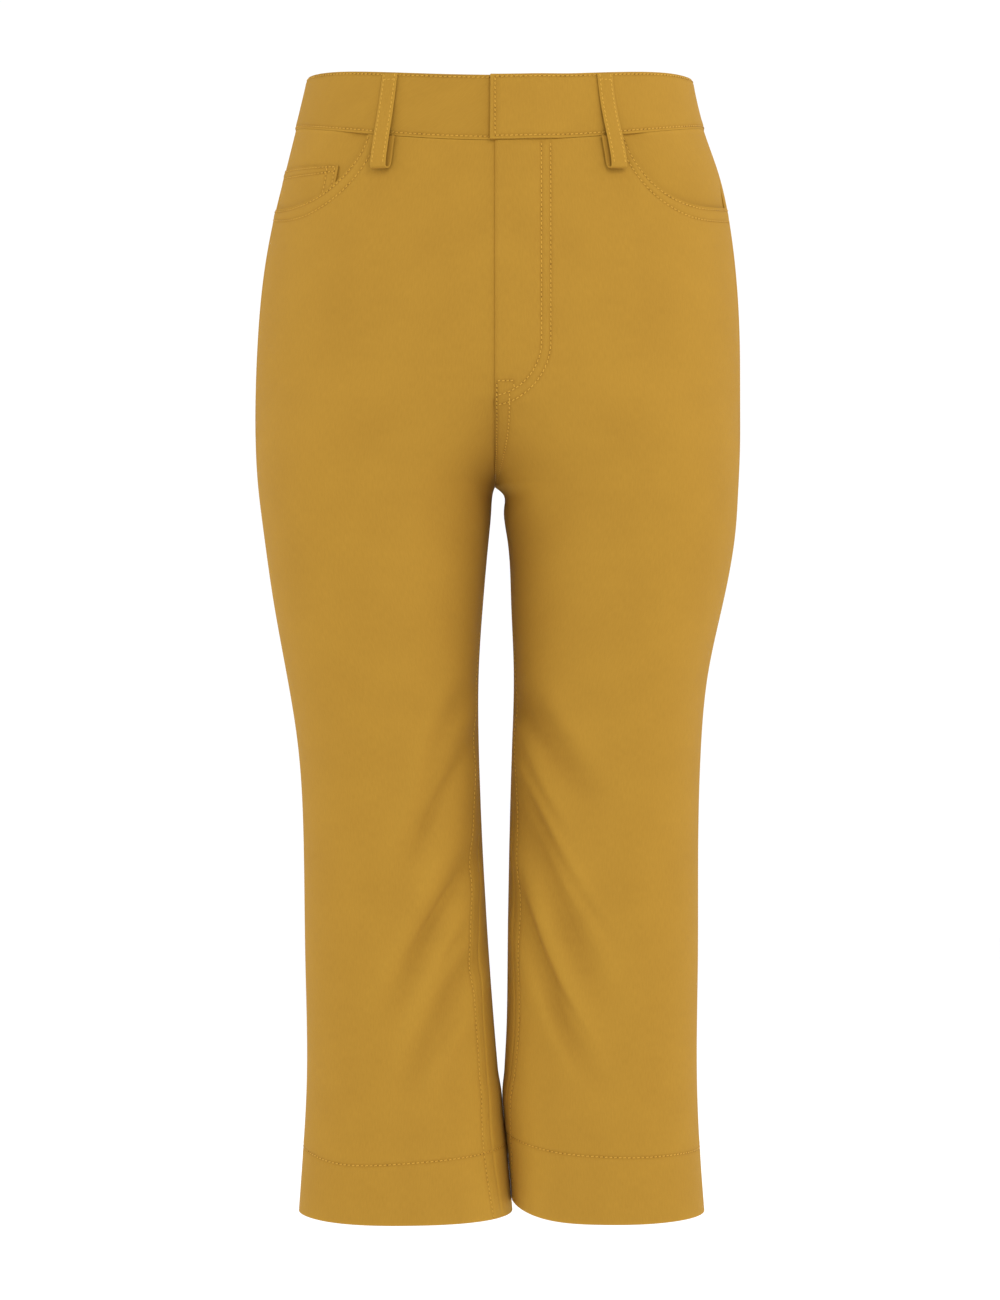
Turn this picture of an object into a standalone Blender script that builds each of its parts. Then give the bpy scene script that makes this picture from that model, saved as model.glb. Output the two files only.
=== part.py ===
"""Capri trousers with a fly, scooped front pockets and five belt loops, in the shape they have when worn.

Metres, +Z up. The origin is the middle of the waist opening, half-way up the waistband at the side seams.
The front faces -Y and the wearer's left is +X, so the wearer's right leg is at -X.

Every panel lies on one skin. A point of the skin is given by its side (RIGHT or LEFT), an angle round that
side's loop (0 at the outside, 90 degrees at the front, 180 at the inseam, -90 at the back), and its drop
below a level plane just above the waistband. Above the crotch the two loops cross the centre plane and the
panels end there, so one rule gives both the seat and the legs.
"""

import math
from collections import namedtuple

import bmesh
import bpy
import numpy as np

MM = 0.001
RIGHT, LEFT = -1, 1
FRONT, BACK = 1, -1

# Heights, as drops below the plane DROP_ZERO_Z. The front edges of the waistband dip and the back ones rise.
DROP_ZERO_Z = 0.0225
TOP_SIDE, TOP_FRONT_MORE, TOP_BACK_LESS = 0.002, 0.0138, 0.005
BAND_SIDE, BAND_FRONT_MORE, BAND_BACK_LESS = 0.0430, 0.0205, 0.003
RISE_START, CROTCH, HEM = 0.222, 0.3075, 0.848
HEM_DEPTH, HEM_SIDE_RISE = 0.046, 0.0018
HEM_INSEAM_RISE = {RIGHT: 0.005, LEFT: 0.011}

# The centre plane is where the fly edge and the seat seam lie, a little to the wearer's right of the middle.
CENTRE_X = -0.0037
ROUNDNESS = 2.3
CROTCH_SLOPE = 0.3

# Cloth.
CLOTH, HEM_WALL, BAND_WALL, FACING_WALL, LOOP_WALL = 0.0012, 0.0022, 0.0024, 0.0010, 0.0014
SEAM_GAP = 0.0004
LAYER_GAP = 0.0003
BAND_PROUD = 0.0008

# Front pocket mouth: a rounded curve from the side seam up to the waist seam.
Pocket = namedtuple("Pocket", "angle depth across down")
POCKETS = {
    RIGHT: Pocket(angle=math.radians(54.3), depth=0.0595, across=3.2, down=1.65),
    LEFT: Pocket(angle=math.radians(56.0), depth=0.0585, across=4.0, down=1.75),
}
POCKET_GAPE, POCKET_GAPE_REACH, POCKET_SEWN = 0.0015, 0.014, 0.030
# The pieces in the pocket mouth, as shares of the pocket's own curve.
FACING_RECESS, FACING_SINK, FACING_UNDER, FACING_ACROSS = 0.0018, 0.55, 1.22, 1.06
COIN_TOP, COIN_TOP_DIP, COIN_ACROSS, COIN_UNDER = 0.0745, 0.0075, 0.81, 1.08

# Fly: the right front runs on under the left one, which stands out over it.
FLY_END, FLY_LAP, FLY_LAP_FADE = 0.249, 0.014, (0.045, 0.0225)
FLY_LIFT, FLY_LIFT_ACROSS, FLY_LIFT_END = 0.0017, (0.018, 0.045), (-0.002, 0.012)

# The waistband's left end passes the centre plane and laps over its right end.
WAIST_RADIUS = 0.15
BAND_LAP, BAND_PAST_FLY, BAND_LAP_LIFT, BAND_LIFT_ACROSS = 0.022, 0.0033, 0.0027, (0.026, 0.058)

# Belt loops: a strap that stands further from the band towards its fold, below the waist seam.
LOOP_WIDTH, LOOP_FROM_TOP, LOOP_BELOW_BAND = 0.0105, 0.0015, 0.025
LOOP_STAND_TOP, LOOP_STAND_LOW, LOOP_STAND_ALONG, LOOP_FOLD = 0.0004, 0.0030, (0.15, 0.9), 0.0013
LOOP_ANGLE = {FRONT: math.radians(59.7), BACK: math.radians(-52)}

# Grid lines: rows down to the crotch, rows of the leg, a close row under the crotch, and columns.
RISE_ROWS, LEG_ROWS, HEM_ROWS, CROTCH_ROW, HEM_STEP = 15, 30, 3, 0.009, 0.002
POCKET_COLUMNS, FRONT_COLUMNS, BACK_COLUMNS, BAND_GRID = 7, 7, 11, (60, 3)
FACING_GRID, COIN_GRID = (8, 7), (7, 4)
LOOP_DOWN, LOOP_TURN, LOOP_UP = 13, 6, 5
SEAM_SAMPLES, EDGE_PASSES, ROWS_TURN = 400, 4, 1.5

# The skin's outline, in millimetres: drop, how far each side reaches from x = 0, the front-most and rear-most
# points, and where along Y the outline is widest.
OUTLINE_COLUMNS = ("drop", "right", "left", "front", "back", "widest")
OUTLINE = (
    (0, 141.6, 141.6, -98, 98, 3),
    (42, 151.8, 151.5, -104, 106, 5),
    (75, 160.2, 163.0, -109, 116, 7),
    (110, 169.0, 171.0, -113, 125, 9),
    (150, 176.3, 176.2, -116, 134, 11),
    (200, 180.9, 179.0, -116, 136, 12),
    (250, 182.5, 179.2, -110, 128, 11),
    (280, 182.0, 178.9, -103.5, 115, 9),
    (311, 179.8, 177.4, -101, 107, 7),
    (338, 176.4, 175.6, -98.5, 100.5, 5),
    (392, 168.6, 166.4, -93, 90, 2),
    (446, 158.8, 154.8, -87, 83, 0),
    (499, 150.4, 149.6, -80, 79, 0),
    (571, 146.2, 147.6, -72, 77, 2),
    (660, 145.0, 147.4, -67, 75, 3),
    (750, 144.0, 146.8, -65, 74, 4),
    (800, 146.6, 148.9, -65, 74, 4),
    (848, 150.0, 152.4, -66, 75, 4),
)

# The inner edge of each leg below the crotch, in millimetres from x = 0, outwards for each side.
INNER_COLUMNS = ("drop", "right", "left")
INNER = (
    (307.5, 3.9, -3.5),
    (312, 5.3, 1.8),
    (322, 6.3, 3.2),
    (345, 8.2, 5.2),
    (392, 12.4, 8.2),
    (446, 15.8, 10.2),
    (499, 15.8, 9.0),
    (571, 13.2, 7.0),
    (660, 8.0, 5.6),
    (720, 3.4, 4.4),
    (767, -1.0, 2.9),
    (800, -4.6, 6.0),
    (848, -8.6, 10.2),
)

# Seam angles in degrees: the side seam, and the inseam of each leg, which turns to the front towards the hem.
SEAM_COLUMNS = ("drop", "side", "right", "left")
SEAMS = (
    (0, 12, 180, 180),
    (110, 13, 180, 180),
    (200, 10, 180, 180),
    (311, 6, 180, 180),
    (450, 3, 177, 174),
    (571, 2, 163, 161),
    (655, 2, 151, 155),
    (740, 2, 149, 155),
    (790, 2, 146, 163),
    (848, 2, 151, 174),
)

# Soft diagonal folds, in millimetres: side, face, the start and end of each trough as seen from the front
# (distance from x = 0 and drop), its half width, its depth, and how far it bows down in the middle.
FOLD_COLUMNS = "side face start_x start_drop end_x end_drop width depth bow"
FOLDS = (
    (LEFT, FRONT, 10, 468, 60, 560, 13, 1.8, 5),
    (LEFT, FRONT, 10, 520, 58, 640, 12, 2.4, 6),
    (LEFT, FRONT, 12, 575, 80, 765, 13, 2.8, 8),
    (RIGHT, FRONT, 16, 480, 62, 590, 15, 1.8, -6),
    (RIGHT, FRONT, 18, 556, 80, 700, 14, 2.6, -6),
    (RIGHT, FRONT, 14, 640, 72, 765, 13, 1.8, -6),
    (LEFT, BACK, 22, 520, 96, 640, 15, 2.4, 8),
    (LEFT, BACK, 24, 600, 104, 750, 14, 2.2, 8),
    (RIGHT, BACK, 24, 500, 92, 616, 14, 2.2, 8),
    (RIGHT, BACK, 22, 580, 104, 735, 15, 2.4, 8),
    (LEFT, BACK, 18, 340, 96, 352, 15, 1.4, 6),
    (RIGHT, BACK, 20, 346, 90, 356, 15, 1.2, 6),
)

CLOTH_COLOUR, CLOTH_ROUGHNESS = (0.50, 0.28, 0.045, 1.0), 0.75


def spline(xs, ys):
    """A natural cubic spline through the points, straight beyond its ends."""
    xs, ys = np.asarray(xs, float), np.asarray(ys, float)
    step, rise = np.diff(xs), np.diff(ys) / np.diff(xs)
    count = len(xs)
    matrix, wanted = np.eye(count), np.zeros(count)
    for i in range(1, count - 1):
        matrix[i, i - 1 : i + 2] = step[i - 1], 2 * (step[i - 1] + step[i]), step[i]
        wanted[i] = 6 * (rise[i] - rise[i - 1])
    bend = np.linalg.solve(matrix, wanted)

    def value(at):
        at = np.clip(np.asarray(at, float), xs[0], xs[-1])
        i = np.clip(np.searchsorted(xs, at, side="right") - 1, 0, count - 2)
        past, left = at - xs[i], xs[i + 1] - at
        curve = (bend[i] * left**3 + bend[i + 1] * past**3) / (6 * step[i])
        line = (ys[i] / step[i] - bend[i] * step[i] / 6) * left
        return curve + line + (ys[i + 1] / step[i] - bend[i + 1] * step[i] / 6) * past

    return value


def table(columns, rows, unit):
    """One spline over the drop for each column of a table, in metres or radians."""
    rows = np.array(rows, float)
    return {name: spline(rows[:, 0] * MM, rows[:, i] * unit) for i, name in enumerate(columns) if i}


OUTLINE_AT = table(OUTLINE_COLUMNS, OUTLINE, MM)
INNER_AT = table(INNER_COLUMNS, INNER, MM)
SEAMS_AT = table(SEAM_COLUMNS, SEAMS, math.pi / 180)
SIDE_NAME = {RIGHT: "right", LEFT: "left"}
FACE_NAME = {FRONT: "front", BACK: "back"}
HEM_ROW = (HEM - HEM_DEPTH - CROTCH) / (HEM - CROTCH)
SEAM_RADIUS, INSEAM_RADIUS = 0.15, 0.10
SIDE_GAP, INSEAM_GAP = SEAM_GAP / 2 / SEAM_RADIUS, SEAM_GAP / 2 / INSEAM_RADIUS
Fold = namedtuple("Fold", FOLD_COLUMNS)
FOLD_FLAT, FOLD_STARTS, FOLD_ENDS, FOLD_TURNS = 0.6, (-0.12, 0.22), (0.55, 1.1), (0.0, 0.35)


def smooth_step(value, low, high):
    """0 below low, 1 above high, and a soft step between."""
    t = np.clip((np.asarray(value, float) - low) / (high - low), 0, 1)
    return t * t * (3 - 2 * t)


def loop_ends(side, drop):
    """The outer and inner ends of one side's loop, as distances from the centre plane.

    Down to RISE_START the inner end mirrors the outer one. It then closes in to the centre plane.
    """
    outer = OUTLINE_AT[SIDE_NAME[side]](drop) - side * CENTRE_X
    t = np.clip((drop - RISE_START) / (CROTCH - RISE_START), 0, 1)
    closed = (3 - CROTCH_SLOPE) * t**2 + (CROTCH_SLOPE - 2) * t**3
    above = SEAM_GAP / 2 - outer * (1 - closed) / (1 + closed)
    below = INNER_AT[SIDE_NAME[side]](drop) - side * CENTRE_X
    return outer, np.where(drop < CROTCH, above, below)


def angle_at(side, drop, distance):
    """The front angle at which one side's loop is at this distance from the centre plane."""
    outer, inner = loop_ends(side, drop)
    across = np.clip((distance - (outer + inner) / 2) / ((outer - inner) / 2), -1, 1)
    along = (1 - np.abs(across) ** ROUNDNESS) ** (1 / ROUNDNESS)
    return np.arctan2(along, across)


def skin(side, angle, drop):
    """Points of the outer skin."""
    outer, inner = loop_ends(side, drop)
    cosine, sine = np.cos(angle), np.sin(angle)
    radius = (np.abs(cosine) ** ROUNDNESS + np.abs(sine) ** ROUNDNESS) ** (-1 / ROUNDNESS)
    widest = OUTLINE_AT["widest"](drop)
    reach = np.where(sine > 0, widest - OUTLINE_AT["front"](drop), OUTLINE_AT["back"](drop) - widest)
    x = CENTRE_X + side * ((outer + inner) / 2 + (outer - inner) / 2 * radius * cosine)
    y = widest - reach * radius * sine
    return np.stack([x, y, np.broadcast_to(DROP_ZERO_Z - drop, x.shape)], axis=-1)


def outward(side, angle, drop):
    """Unit normals of the skin."""
    step = 0.0005
    along = skin(side, angle + step, drop) - skin(side, angle - step, drop)
    down = skin(side, angle, drop + step) - skin(side, angle, drop - step)
    normal = side * np.cross(along, down)
    return normal / np.linalg.norm(normal, axis=-1, keepdims=True)


def fold_lift(side, angle, drop):
    """How far the folds move the skin: in at their troughs and out a little on both sides of them."""
    x = np.abs(skin(side, angle, drop)[..., 0])
    lift = np.zeros_like(x)
    for fold in (Fold(*row) for row in FOLDS if row[0] == side):
        start = np.array([fold.start_x, fold.start_drop]) * MM
        ahead = np.array([fold.end_x, fold.end_drop]) * MM - start
        length = np.linalg.norm(ahead)
        ahead /= length
        there = np.stack([x, drop], axis=-1) - start
        along = there @ ahead / length
        middle = fold.bow * MM * 4 * np.clip(along, 0, 1) * (1 - np.clip(along, 0, 1))
        across = (there @ np.array([-ahead[1], ahead[0]]) - middle) / (fold.width * MM)
        shape = (across**2 / FOLD_FLAT - 1) * np.exp(-(across**2))
        fades = smooth_step(along, *FOLD_STARTS) * (1 - smooth_step(along, *FOLD_ENDS))
        lift += fold.depth * MM * shape * fades * smooth_step(fold.face * np.sin(angle), *FOLD_TURNS)
    return lift


def point(side, angle, drop, lift=0.0):
    """Points of the cloth's outer face, moved out from the skin by the folds and by lift."""
    angle, drop = np.broadcast_arrays(np.asarray(angle, float), np.asarray(drop, float))
    moved = lift + fold_lift(side, angle, drop)
    return skin(side, angle, drop) + outward(side, angle, drop) * moved[..., None]


def edge_drop(angle, side_drop, front_more, back_less):
    """The drop of an edge that goes round the waist: lower in front and higher behind than at the side."""
    sine = np.sin(angle)
    return side_drop + np.where(sine > 0, front_more, -back_less) * sine**2


def band_bottom(angle):
    """The waist seam's drop."""
    return edge_drop(angle, BAND_SIDE, BAND_FRONT_MORE, BAND_BACK_LESS)


def band_top(angle):
    """The drop of the waistband's upper edge."""
    return edge_drop(angle, TOP_SIDE, TOP_FRONT_MORE, TOP_BACK_LESS)


def side_angle(drop):
    """The angle of the side seam."""
    return SEAMS_AT["side"](drop)


def hem_rise(side, angle):
    """How far the hem lies above its lowest line, at the side seam and towards the inseam."""
    cosine = np.cos(angle)
    outside, inside = np.clip(cosine, 0, 1), np.clip(-cosine, 0, 1)
    return HEM_SIDE_RISE * outside**2 + HEM_INSEAM_RISE[side] * inside**4


def pocket_place(side, angle, drop):
    """Where a point is in the pocket mouth: 0 at the top of the side seam, 1 on the edge, more beyond it."""
    pocket = POCKETS[side]
    across = np.clip((angle - side_angle(drop)) / (pocket.angle - side_angle(drop)), 0, None)
    down = np.clip((drop - band_bottom(angle)) / pocket.depth, 0, None)
    return across**pocket.across + down**pocket.down


def pocket_gape(side, angle, drop):
    """How far the pocket's edge stands out from the facing."""
    from_edge = (np.sqrt(np.maximum(pocket_place(side, angle, drop), 1)) - 1) * POCKETS[side].depth
    sewn_down = smooth_step(drop - band_bottom(angle), 0.0, POCKET_SEWN)
    return POCKET_GAPE * np.exp(-((from_edge / POCKET_GAPE_REACH) ** 2)) * sewn_down


def pocket_edge(side, across, reach=1.0):
    """How far the pocket's edge, or a curve outside it, lies below the waist seam."""
    pocket = POCKETS[side]
    return pocket.depth * np.maximum(reach - across**pocket.across, 0) ** (1 / pocket.down)


def crotch_steps(side, face, steps):
    """Shares of the way down to the crotch at which points lie evenly along the centre seam."""
    top = band_bottom(face * math.pi / 2)
    drops = top + (CROTCH - top) * np.linspace(0, 1, SEAM_SAMPLES)
    middle = skin(side, face * angle_at(side, drops, SEAM_GAP / 2), drops)
    length = np.concatenate([[0], np.cumsum(np.linalg.norm(np.diff(middle, axis=0), axis=1))])
    return np.interp(steps, length / length[-1], (drops - top) / (CROTCH - top))


def fly_lap(side, drop):
    """How far a front runs on past the centre plane: only the right one does, down to the end of the fly."""
    if side == LEFT:
        return 0.0
    return FLY_LAP * (1 - smooth_step(drop, FLY_END - FLY_LAP_FADE[0], FLY_END - FLY_LAP_FADE[1]))


def front_ends(side, drop):
    """The angles between which a front panel lies."""
    last = np.where(
        drop < CROTCH,
        angle_at(side, drop, SEAM_GAP / 2 - fly_lap(side, drop)),
        SEAMS_AT[SIDE_NAME[side]](drop) - INSEAM_GAP,
    )
    return side_angle(drop) + SIDE_GAP, last


def back_ends(side, drop):
    """The angles between which a back panel lies, from the side seam backwards."""
    inseam = SEAMS_AT[SIDE_NAME[side]](drop) + INSEAM_GAP - 2 * math.pi
    return side_angle(drop) - SIDE_GAP, np.where(drop < CROTCH, -angle_at(side, drop, SEAM_GAP / 2), inseam)


def panel_rows():
    """The rows of every panel: 0 to 1 runs down to the crotch and 1 to 2 down to the hem."""
    leg = np.linspace(0, HEM_ROW - HEM_STEP, LEG_ROWS + 1)[1:]
    hem = np.linspace(HEM_ROW + HEM_STEP, 1, HEM_ROWS)
    return np.concatenate([np.linspace(0, 1, RISE_ROWS + 1), 1 + np.concatenate([[CROTCH_ROW], leg, hem])])


def pocket_corner(side):
    """How far across a front panel its pocket reaches."""
    first, last = front_ends(side, BAND_SIDE + BAND_FRONT_MORE)
    return (POCKETS[side].angle - first) / (last - first)


def front_columns(side):
    """The columns of a front panel, closer together where the pocket's edge is steep."""
    pocket = pocket_corner(side) * np.sin(np.linspace(0, math.pi / 2, POCKET_COLUMNS + 1))
    return np.concatenate([pocket, np.linspace(pocket_corner(side), 1, FRONT_COLUMNS + 1)[1:]])


def panel(side, face, ends, columns, edge, lift):
    """A leg-wide panel. edge gives the drop of its top for an angle and a share across the panel."""

    def place(across, row, depth):
        top = np.full_like(across, BAND_SIDE)
        for _ in range(EDGE_PASSES):
            first, last = ends(side, top)
            top = edge(first + across * (last - first), across)
        steps = np.clip(row, 0, 1)
        share = steps + (crotch_steps(side, face, steps) - steps) * across**ROWS_TURN
        drop = np.where(row <= 1, top + (CROTCH - top) * share, CROTCH + (HEM - CROTCH) * (row - 1))
        first, last = ends(side, drop)
        angle = first + across * (last - first)
        drop = drop - hem_rise(side, angle) * np.clip(row - 1, 0, 1)
        wall = np.where(row > 1 + HEM_ROW, HEM_WALL, CLOTH)
        return point(side, angle, drop, lift(side, angle, drop) - depth * wall)

    return sheet(f"{FACE_NAME[face]}_{SIDE_NAME[side]}", columns, panel_rows(), place)


def front_lift(side, angle, drop):
    """The front stands out at its pocket's edge, and the left one also over the fly."""
    lift = pocket_gape(side, angle, drop)
    if side == LEFT:
        distance = np.abs(skin(side, angle, drop)[..., 0] - CENTRE_X)
        near_fly = 1 - smooth_step(distance, *FLY_LIFT_ACROSS)
        lift = lift + FLY_LIFT * near_fly * (1 - smooth_step(drop - FLY_END, *FLY_LIFT_END))
    return lift


def front_panel(side):
    """One front. The pocket's edge is part of its top."""

    def edge(angle, across):
        return band_bottom(angle) + LAYER_GAP + pocket_edge(side, np.minimum(across / pocket_corner(side), 1))

    return panel(side, FRONT, front_ends, front_columns(side), edge, front_lift)


def back_panel(side):
    """One back, from the side seam round to the seat seam and the inseam."""

    def edge(angle, across):
        return band_bottom(angle) + LAYER_GAP

    return panel(side, BACK, back_ends, np.linspace(0, 1, BACK_COLUMNS + 1), edge, lambda *at: 0.0)


def facing_lift(side, angle, drop):
    """The facing starts level with the back at the side seam and sinks under the pocket's edge."""
    return -FACING_RECESS * smooth_step(pocket_place(side, angle, drop), 0.0, FACING_SINK)


def pocket_patch(name, side, lines, reach_at, edges):
    """A piece in the pocket mouth. edges gives its top and bottom drops for a share of the pocket's width."""

    def place(across, row, depth):
        reach = across * reach_at
        first, _ = front_ends(side, BAND_SIDE)
        top, low, lift = edges(first + reach * (POCKETS[side].angle - first), reach)
        drop = top + row * (low - top)
        first, _ = front_ends(side, drop)
        angle = first + reach * (POCKETS[side].angle - first)
        return point(side, angle, drop, facing_lift(side, angle, drop) + lift - depth * FACING_WALL)

    return sheet(name, *even(lines), place)


def pocket_facing(side):
    """The cloth inside the pocket mouth, running on a little way under the front."""

    def edges(angle, reach):
        seam = band_bottom(angle) + LAYER_GAP
        return seam, seam + pocket_edge(side, reach, FACING_UNDER), 0.0

    return pocket_patch(f"pocket_facing_{SIDE_NAME[side]}", side, FACING_GRID, FACING_ACROSS, edges)


def coin_pocket():
    """The small patch on the right facing. The front panel's edge covers its lower part."""

    def edges(angle, reach):
        low = band_bottom(angle) + pocket_edge(RIGHT, reach, COIN_UNDER)
        return COIN_TOP + COIN_TOP_DIP * np.sin(angle) ** 2, low, LAYER_GAP + FACING_WALL

    return pocket_patch("coin_pocket", RIGHT, COIN_GRID, COIN_ACROSS, edges)


def waistband():
    """One band all round. Its left end laps over its right end in front."""
    quarter = math.pi / 2
    left_end, right_end = quarter + BAND_PAST_FLY / WAIST_RADIUS, quarter + BAND_LAP / WAIST_RADIUS
    turn = left_end + 2 * quarter + right_end

    def place(across, row, depth):
        at = across * turn
        on_left = at <= left_end + quarter
        angle = np.where(on_left, left_end - at, at - left_end - 2 * quarter)
        drop = band_top(angle) + row * (band_bottom(angle) - band_top(angle))
        distance = skin(LEFT, angle, drop)[..., 0] - CENTRE_X
        lap = BAND_LAP_LIFT * (1 - smooth_step(distance, *BAND_LIFT_ACROSS)) * (np.sin(angle) > 0)
        left = point(LEFT, angle, drop, BAND_PROUD + lap - depth * BAND_WALL)
        right = point(RIGHT, angle, drop, BAND_PROUD - depth * BAND_WALL)
        return np.where(on_left[..., None], left, right)

    return sheet("waistband", *even(BAND_GRID), place)


def loop_path(angle):
    """A belt loop's middle line as drops and stand-offs: down over the band, a fold, and up to the seam."""
    top, seam = band_top(angle) + LOOP_FROM_TOP, band_bottom(angle)
    low = seam + LOOP_BELOW_BAND - LOOP_FOLD
    down, back = np.linspace(0, 1, LOOP_DOWN + 1), np.linspace(0, 1, LOOP_UP + 1)
    turn = np.linspace(0, math.pi, LOOP_TURN + 1)[1:-1]
    stand = BAND_PROUD + LOOP_WALL / 2 + LOOP_STAND_TOP
    stand = stand + LOOP_STAND_LOW * smooth_step(down, *LOOP_STAND_ALONG)
    last = stand[-1]
    drops = [top + (low - top) * down, low + LOOP_FOLD * np.sin(turn), low + (seam + LOOP_WALL - low) * back]
    stands = [stand, last - LOOP_FOLD * (1 - np.cos(turn)), np.full(len(back), last - 2 * LOOP_FOLD)]
    return np.concatenate(drops), np.concatenate(stands)


def belt_loop(name, side, angle):
    """A folded strap, stitched to the band's top edge and caught again in the waist seam."""
    drops, stands = loop_path(angle)
    points = np.arange(len(drops))

    def place(across, row, depth):
        around = angle + (across - 0.5) * LOOP_WIDTH / WAIST_RADIUS
        return point(side, around, np.interp(row, points, drops), np.interp(row, points, stands))

    loop = sheet(name, np.array([0.0, 1.0]), points, place, closed=False)
    wall = loop.modifiers.new("wall", "SOLIDIFY")
    wall.thickness, wall.offset, wall.use_even_offset = LOOP_WALL, 0, True
    return loop


def even(lines):
    """Evenly spaced columns and rows, from how many strips there are each way."""
    return [np.linspace(0, 1, strips + 1) for strips in lines]


def sheet(name, columns, rows, place, closed=True):
    """A piece of cloth: a grid whose points go where place puts them, with a second layer for its inside."""
    grid = bmesh.new()
    bmesh.ops.create_grid(grid, x_segments=len(columns) - 1, y_segments=len(rows) - 1, size=0.5)
    inside = set()
    if closed:
        layer = bmesh.ops.extrude_face_region(grid, geom=grid.faces[:], use_keep_orig=True)
        inside = {item for item in layer["geom"] if isinstance(item, bmesh.types.BMVert)}
    spots = np.array([(vert.co.x + 0.5, 0.5 - vert.co.y, vert in inside) for vert in grid.verts])
    u = np.rint(spots[:, 0] * (len(columns) - 1)).astype(int)
    v = np.rint(spots[:, 1] * (len(rows) - 1)).astype(int)
    for vert, spot in zip(grid.verts, place(columns[u], rows[v], spots[:, 2])):
        vert.co = spot
    bmesh.ops.recalc_face_normals(grid, faces=grid.faces[:])
    if closed and grid.calc_volume(signed=True) < 0:
        bmesh.ops.reverse_faces(grid, faces=grid.faces[:])
    mesh = bpy.data.meshes.new(name)
    grid.to_mesh(mesh)
    grid.free()
    mesh.materials.append(cloth_material())
    piece = bpy.data.objects.new(name, mesh)
    garment().objects.link(piece)
    return piece


def cloth_material():
    """Mustard stretch twill."""
    material = bpy.data.materials.get("mustard_twill")
    if material is None:
        material = bpy.data.materials.new("mustard_twill")
        material.use_nodes = True
        shader = material.node_tree.nodes["Principled BSDF"]
        shader.inputs["Base Color"].default_value = CLOTH_COLOUR
        shader.inputs["Roughness"].default_value = CLOTH_ROUGHNESS
        shader.inputs["Metallic"].default_value = 0.0
    return material


def garment():
    """The collection that holds the pieces."""
    collection = bpy.data.collections.get("capri_trousers")
    if collection is None:
        collection = bpy.data.collections.new("capri_trousers")
        bpy.context.scene.collection.children.link(collection)
    return collection


def main():
    """Clear the scene and build every piece."""
    for old in list(bpy.data.objects):
        bpy.data.objects.remove(old, do_unlink=True)
    for side in (RIGHT, LEFT):
        front_panel(side)
        back_panel(side)
        pocket_facing(side)
        for face in (FRONT, BACK):
            belt_loop(f"belt_loop_{FACE_NAME[face]}_{SIDE_NAME[side]}", side, LOOP_ANGLE[face])
    coin_pocket()
    waistband()
    belt_loop("belt_loop_back_centre", LEFT, -math.pi / 2)


main()
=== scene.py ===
"""The looks of a pair of mustard capri trousers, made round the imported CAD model.

Metres, +Z up, in the CAD model's frame: the origin is the middle of the waist opening, the front faces -Y and
the wearer's left is +X. Every piece of cloth is a thin closed shell on one skin, as in the CAD model, with finer
creases, rolled seam edges and sewn grooves. A point of the skin is given by its side, an angle round that side's
loop (0 at the outside, 90 degrees at the front, 180 at the inseam, -90 at the back) and its drop below a level
plane just above the waistband.
"""

from __future__ import annotations

import logging
import math
from collections.abc import Iterable
from dataclasses import dataclass, field
from enum import Enum
from typing import NamedTuple

import bmesh
import bpy
import numpy as np
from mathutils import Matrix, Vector
from mathutils.kdtree import KDTree


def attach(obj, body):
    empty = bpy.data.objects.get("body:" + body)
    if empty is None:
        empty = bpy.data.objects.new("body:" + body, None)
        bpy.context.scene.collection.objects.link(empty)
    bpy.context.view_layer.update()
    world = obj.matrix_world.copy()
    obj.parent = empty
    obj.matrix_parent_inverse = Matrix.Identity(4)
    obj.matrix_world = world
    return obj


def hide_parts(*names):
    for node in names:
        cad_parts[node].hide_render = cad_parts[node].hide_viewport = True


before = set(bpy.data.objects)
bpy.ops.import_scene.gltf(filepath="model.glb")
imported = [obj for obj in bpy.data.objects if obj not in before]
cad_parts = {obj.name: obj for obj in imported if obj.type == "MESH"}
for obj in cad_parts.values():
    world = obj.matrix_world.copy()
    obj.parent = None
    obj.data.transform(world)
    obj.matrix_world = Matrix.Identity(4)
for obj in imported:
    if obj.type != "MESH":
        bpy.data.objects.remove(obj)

MM = 0.001
QUARTER = math.pi / 2
LOG = logging.getLogger("capri_trousers")

# How far to each side of a point the skin is read to tell its slope, in metres or radians.
PROBE = 0.0005

Array = np.ndarray
Numbers = np.ndarray | float
Colour = tuple[float, float, float, float]


class Side(Enum):
    """A side of the wearer. The value is the sign of x there."""

    RIGHT = -1
    LEFT = 1

    @property
    def word(self) -> str:
        """The side's name, as the CAD nodes have it."""
        return self.name.lower()


class Face(Enum):
    """The front or the back. The value is the sign of an angle there."""

    FRONT = 1
    BACK = -1

    @property
    def word(self) -> str:
        """The face's name, as the CAD nodes have it."""
        return self.name.lower()


class Level(NamedTuple):
    """The skin's outline at one drop, in millimetres: how far it reaches each way, and where it is widest."""

    drop: float
    right: float
    left: float
    front: float
    back: float
    widest: float


class Inner(NamedTuple):
    """The inner edge of each leg at one drop, in millimetres from x = 0, outwards."""

    drop: float
    right: float
    left: float


class Seams(NamedTuple):
    """The angles of the side seam and of each inseam at one drop in millimetres, in degrees."""

    drop: float
    side: float
    right: float
    left: float


class Crease(NamedTuple):
    """A soft trough in the cloth, in millimetres as seen from the front: distances from x = 0, and drops."""

    side: Side
    face: Face
    start_x: float
    start_drop: float
    end_x: float
    end_drop: float
    width: float
    depth: float
    bow: float


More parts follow.
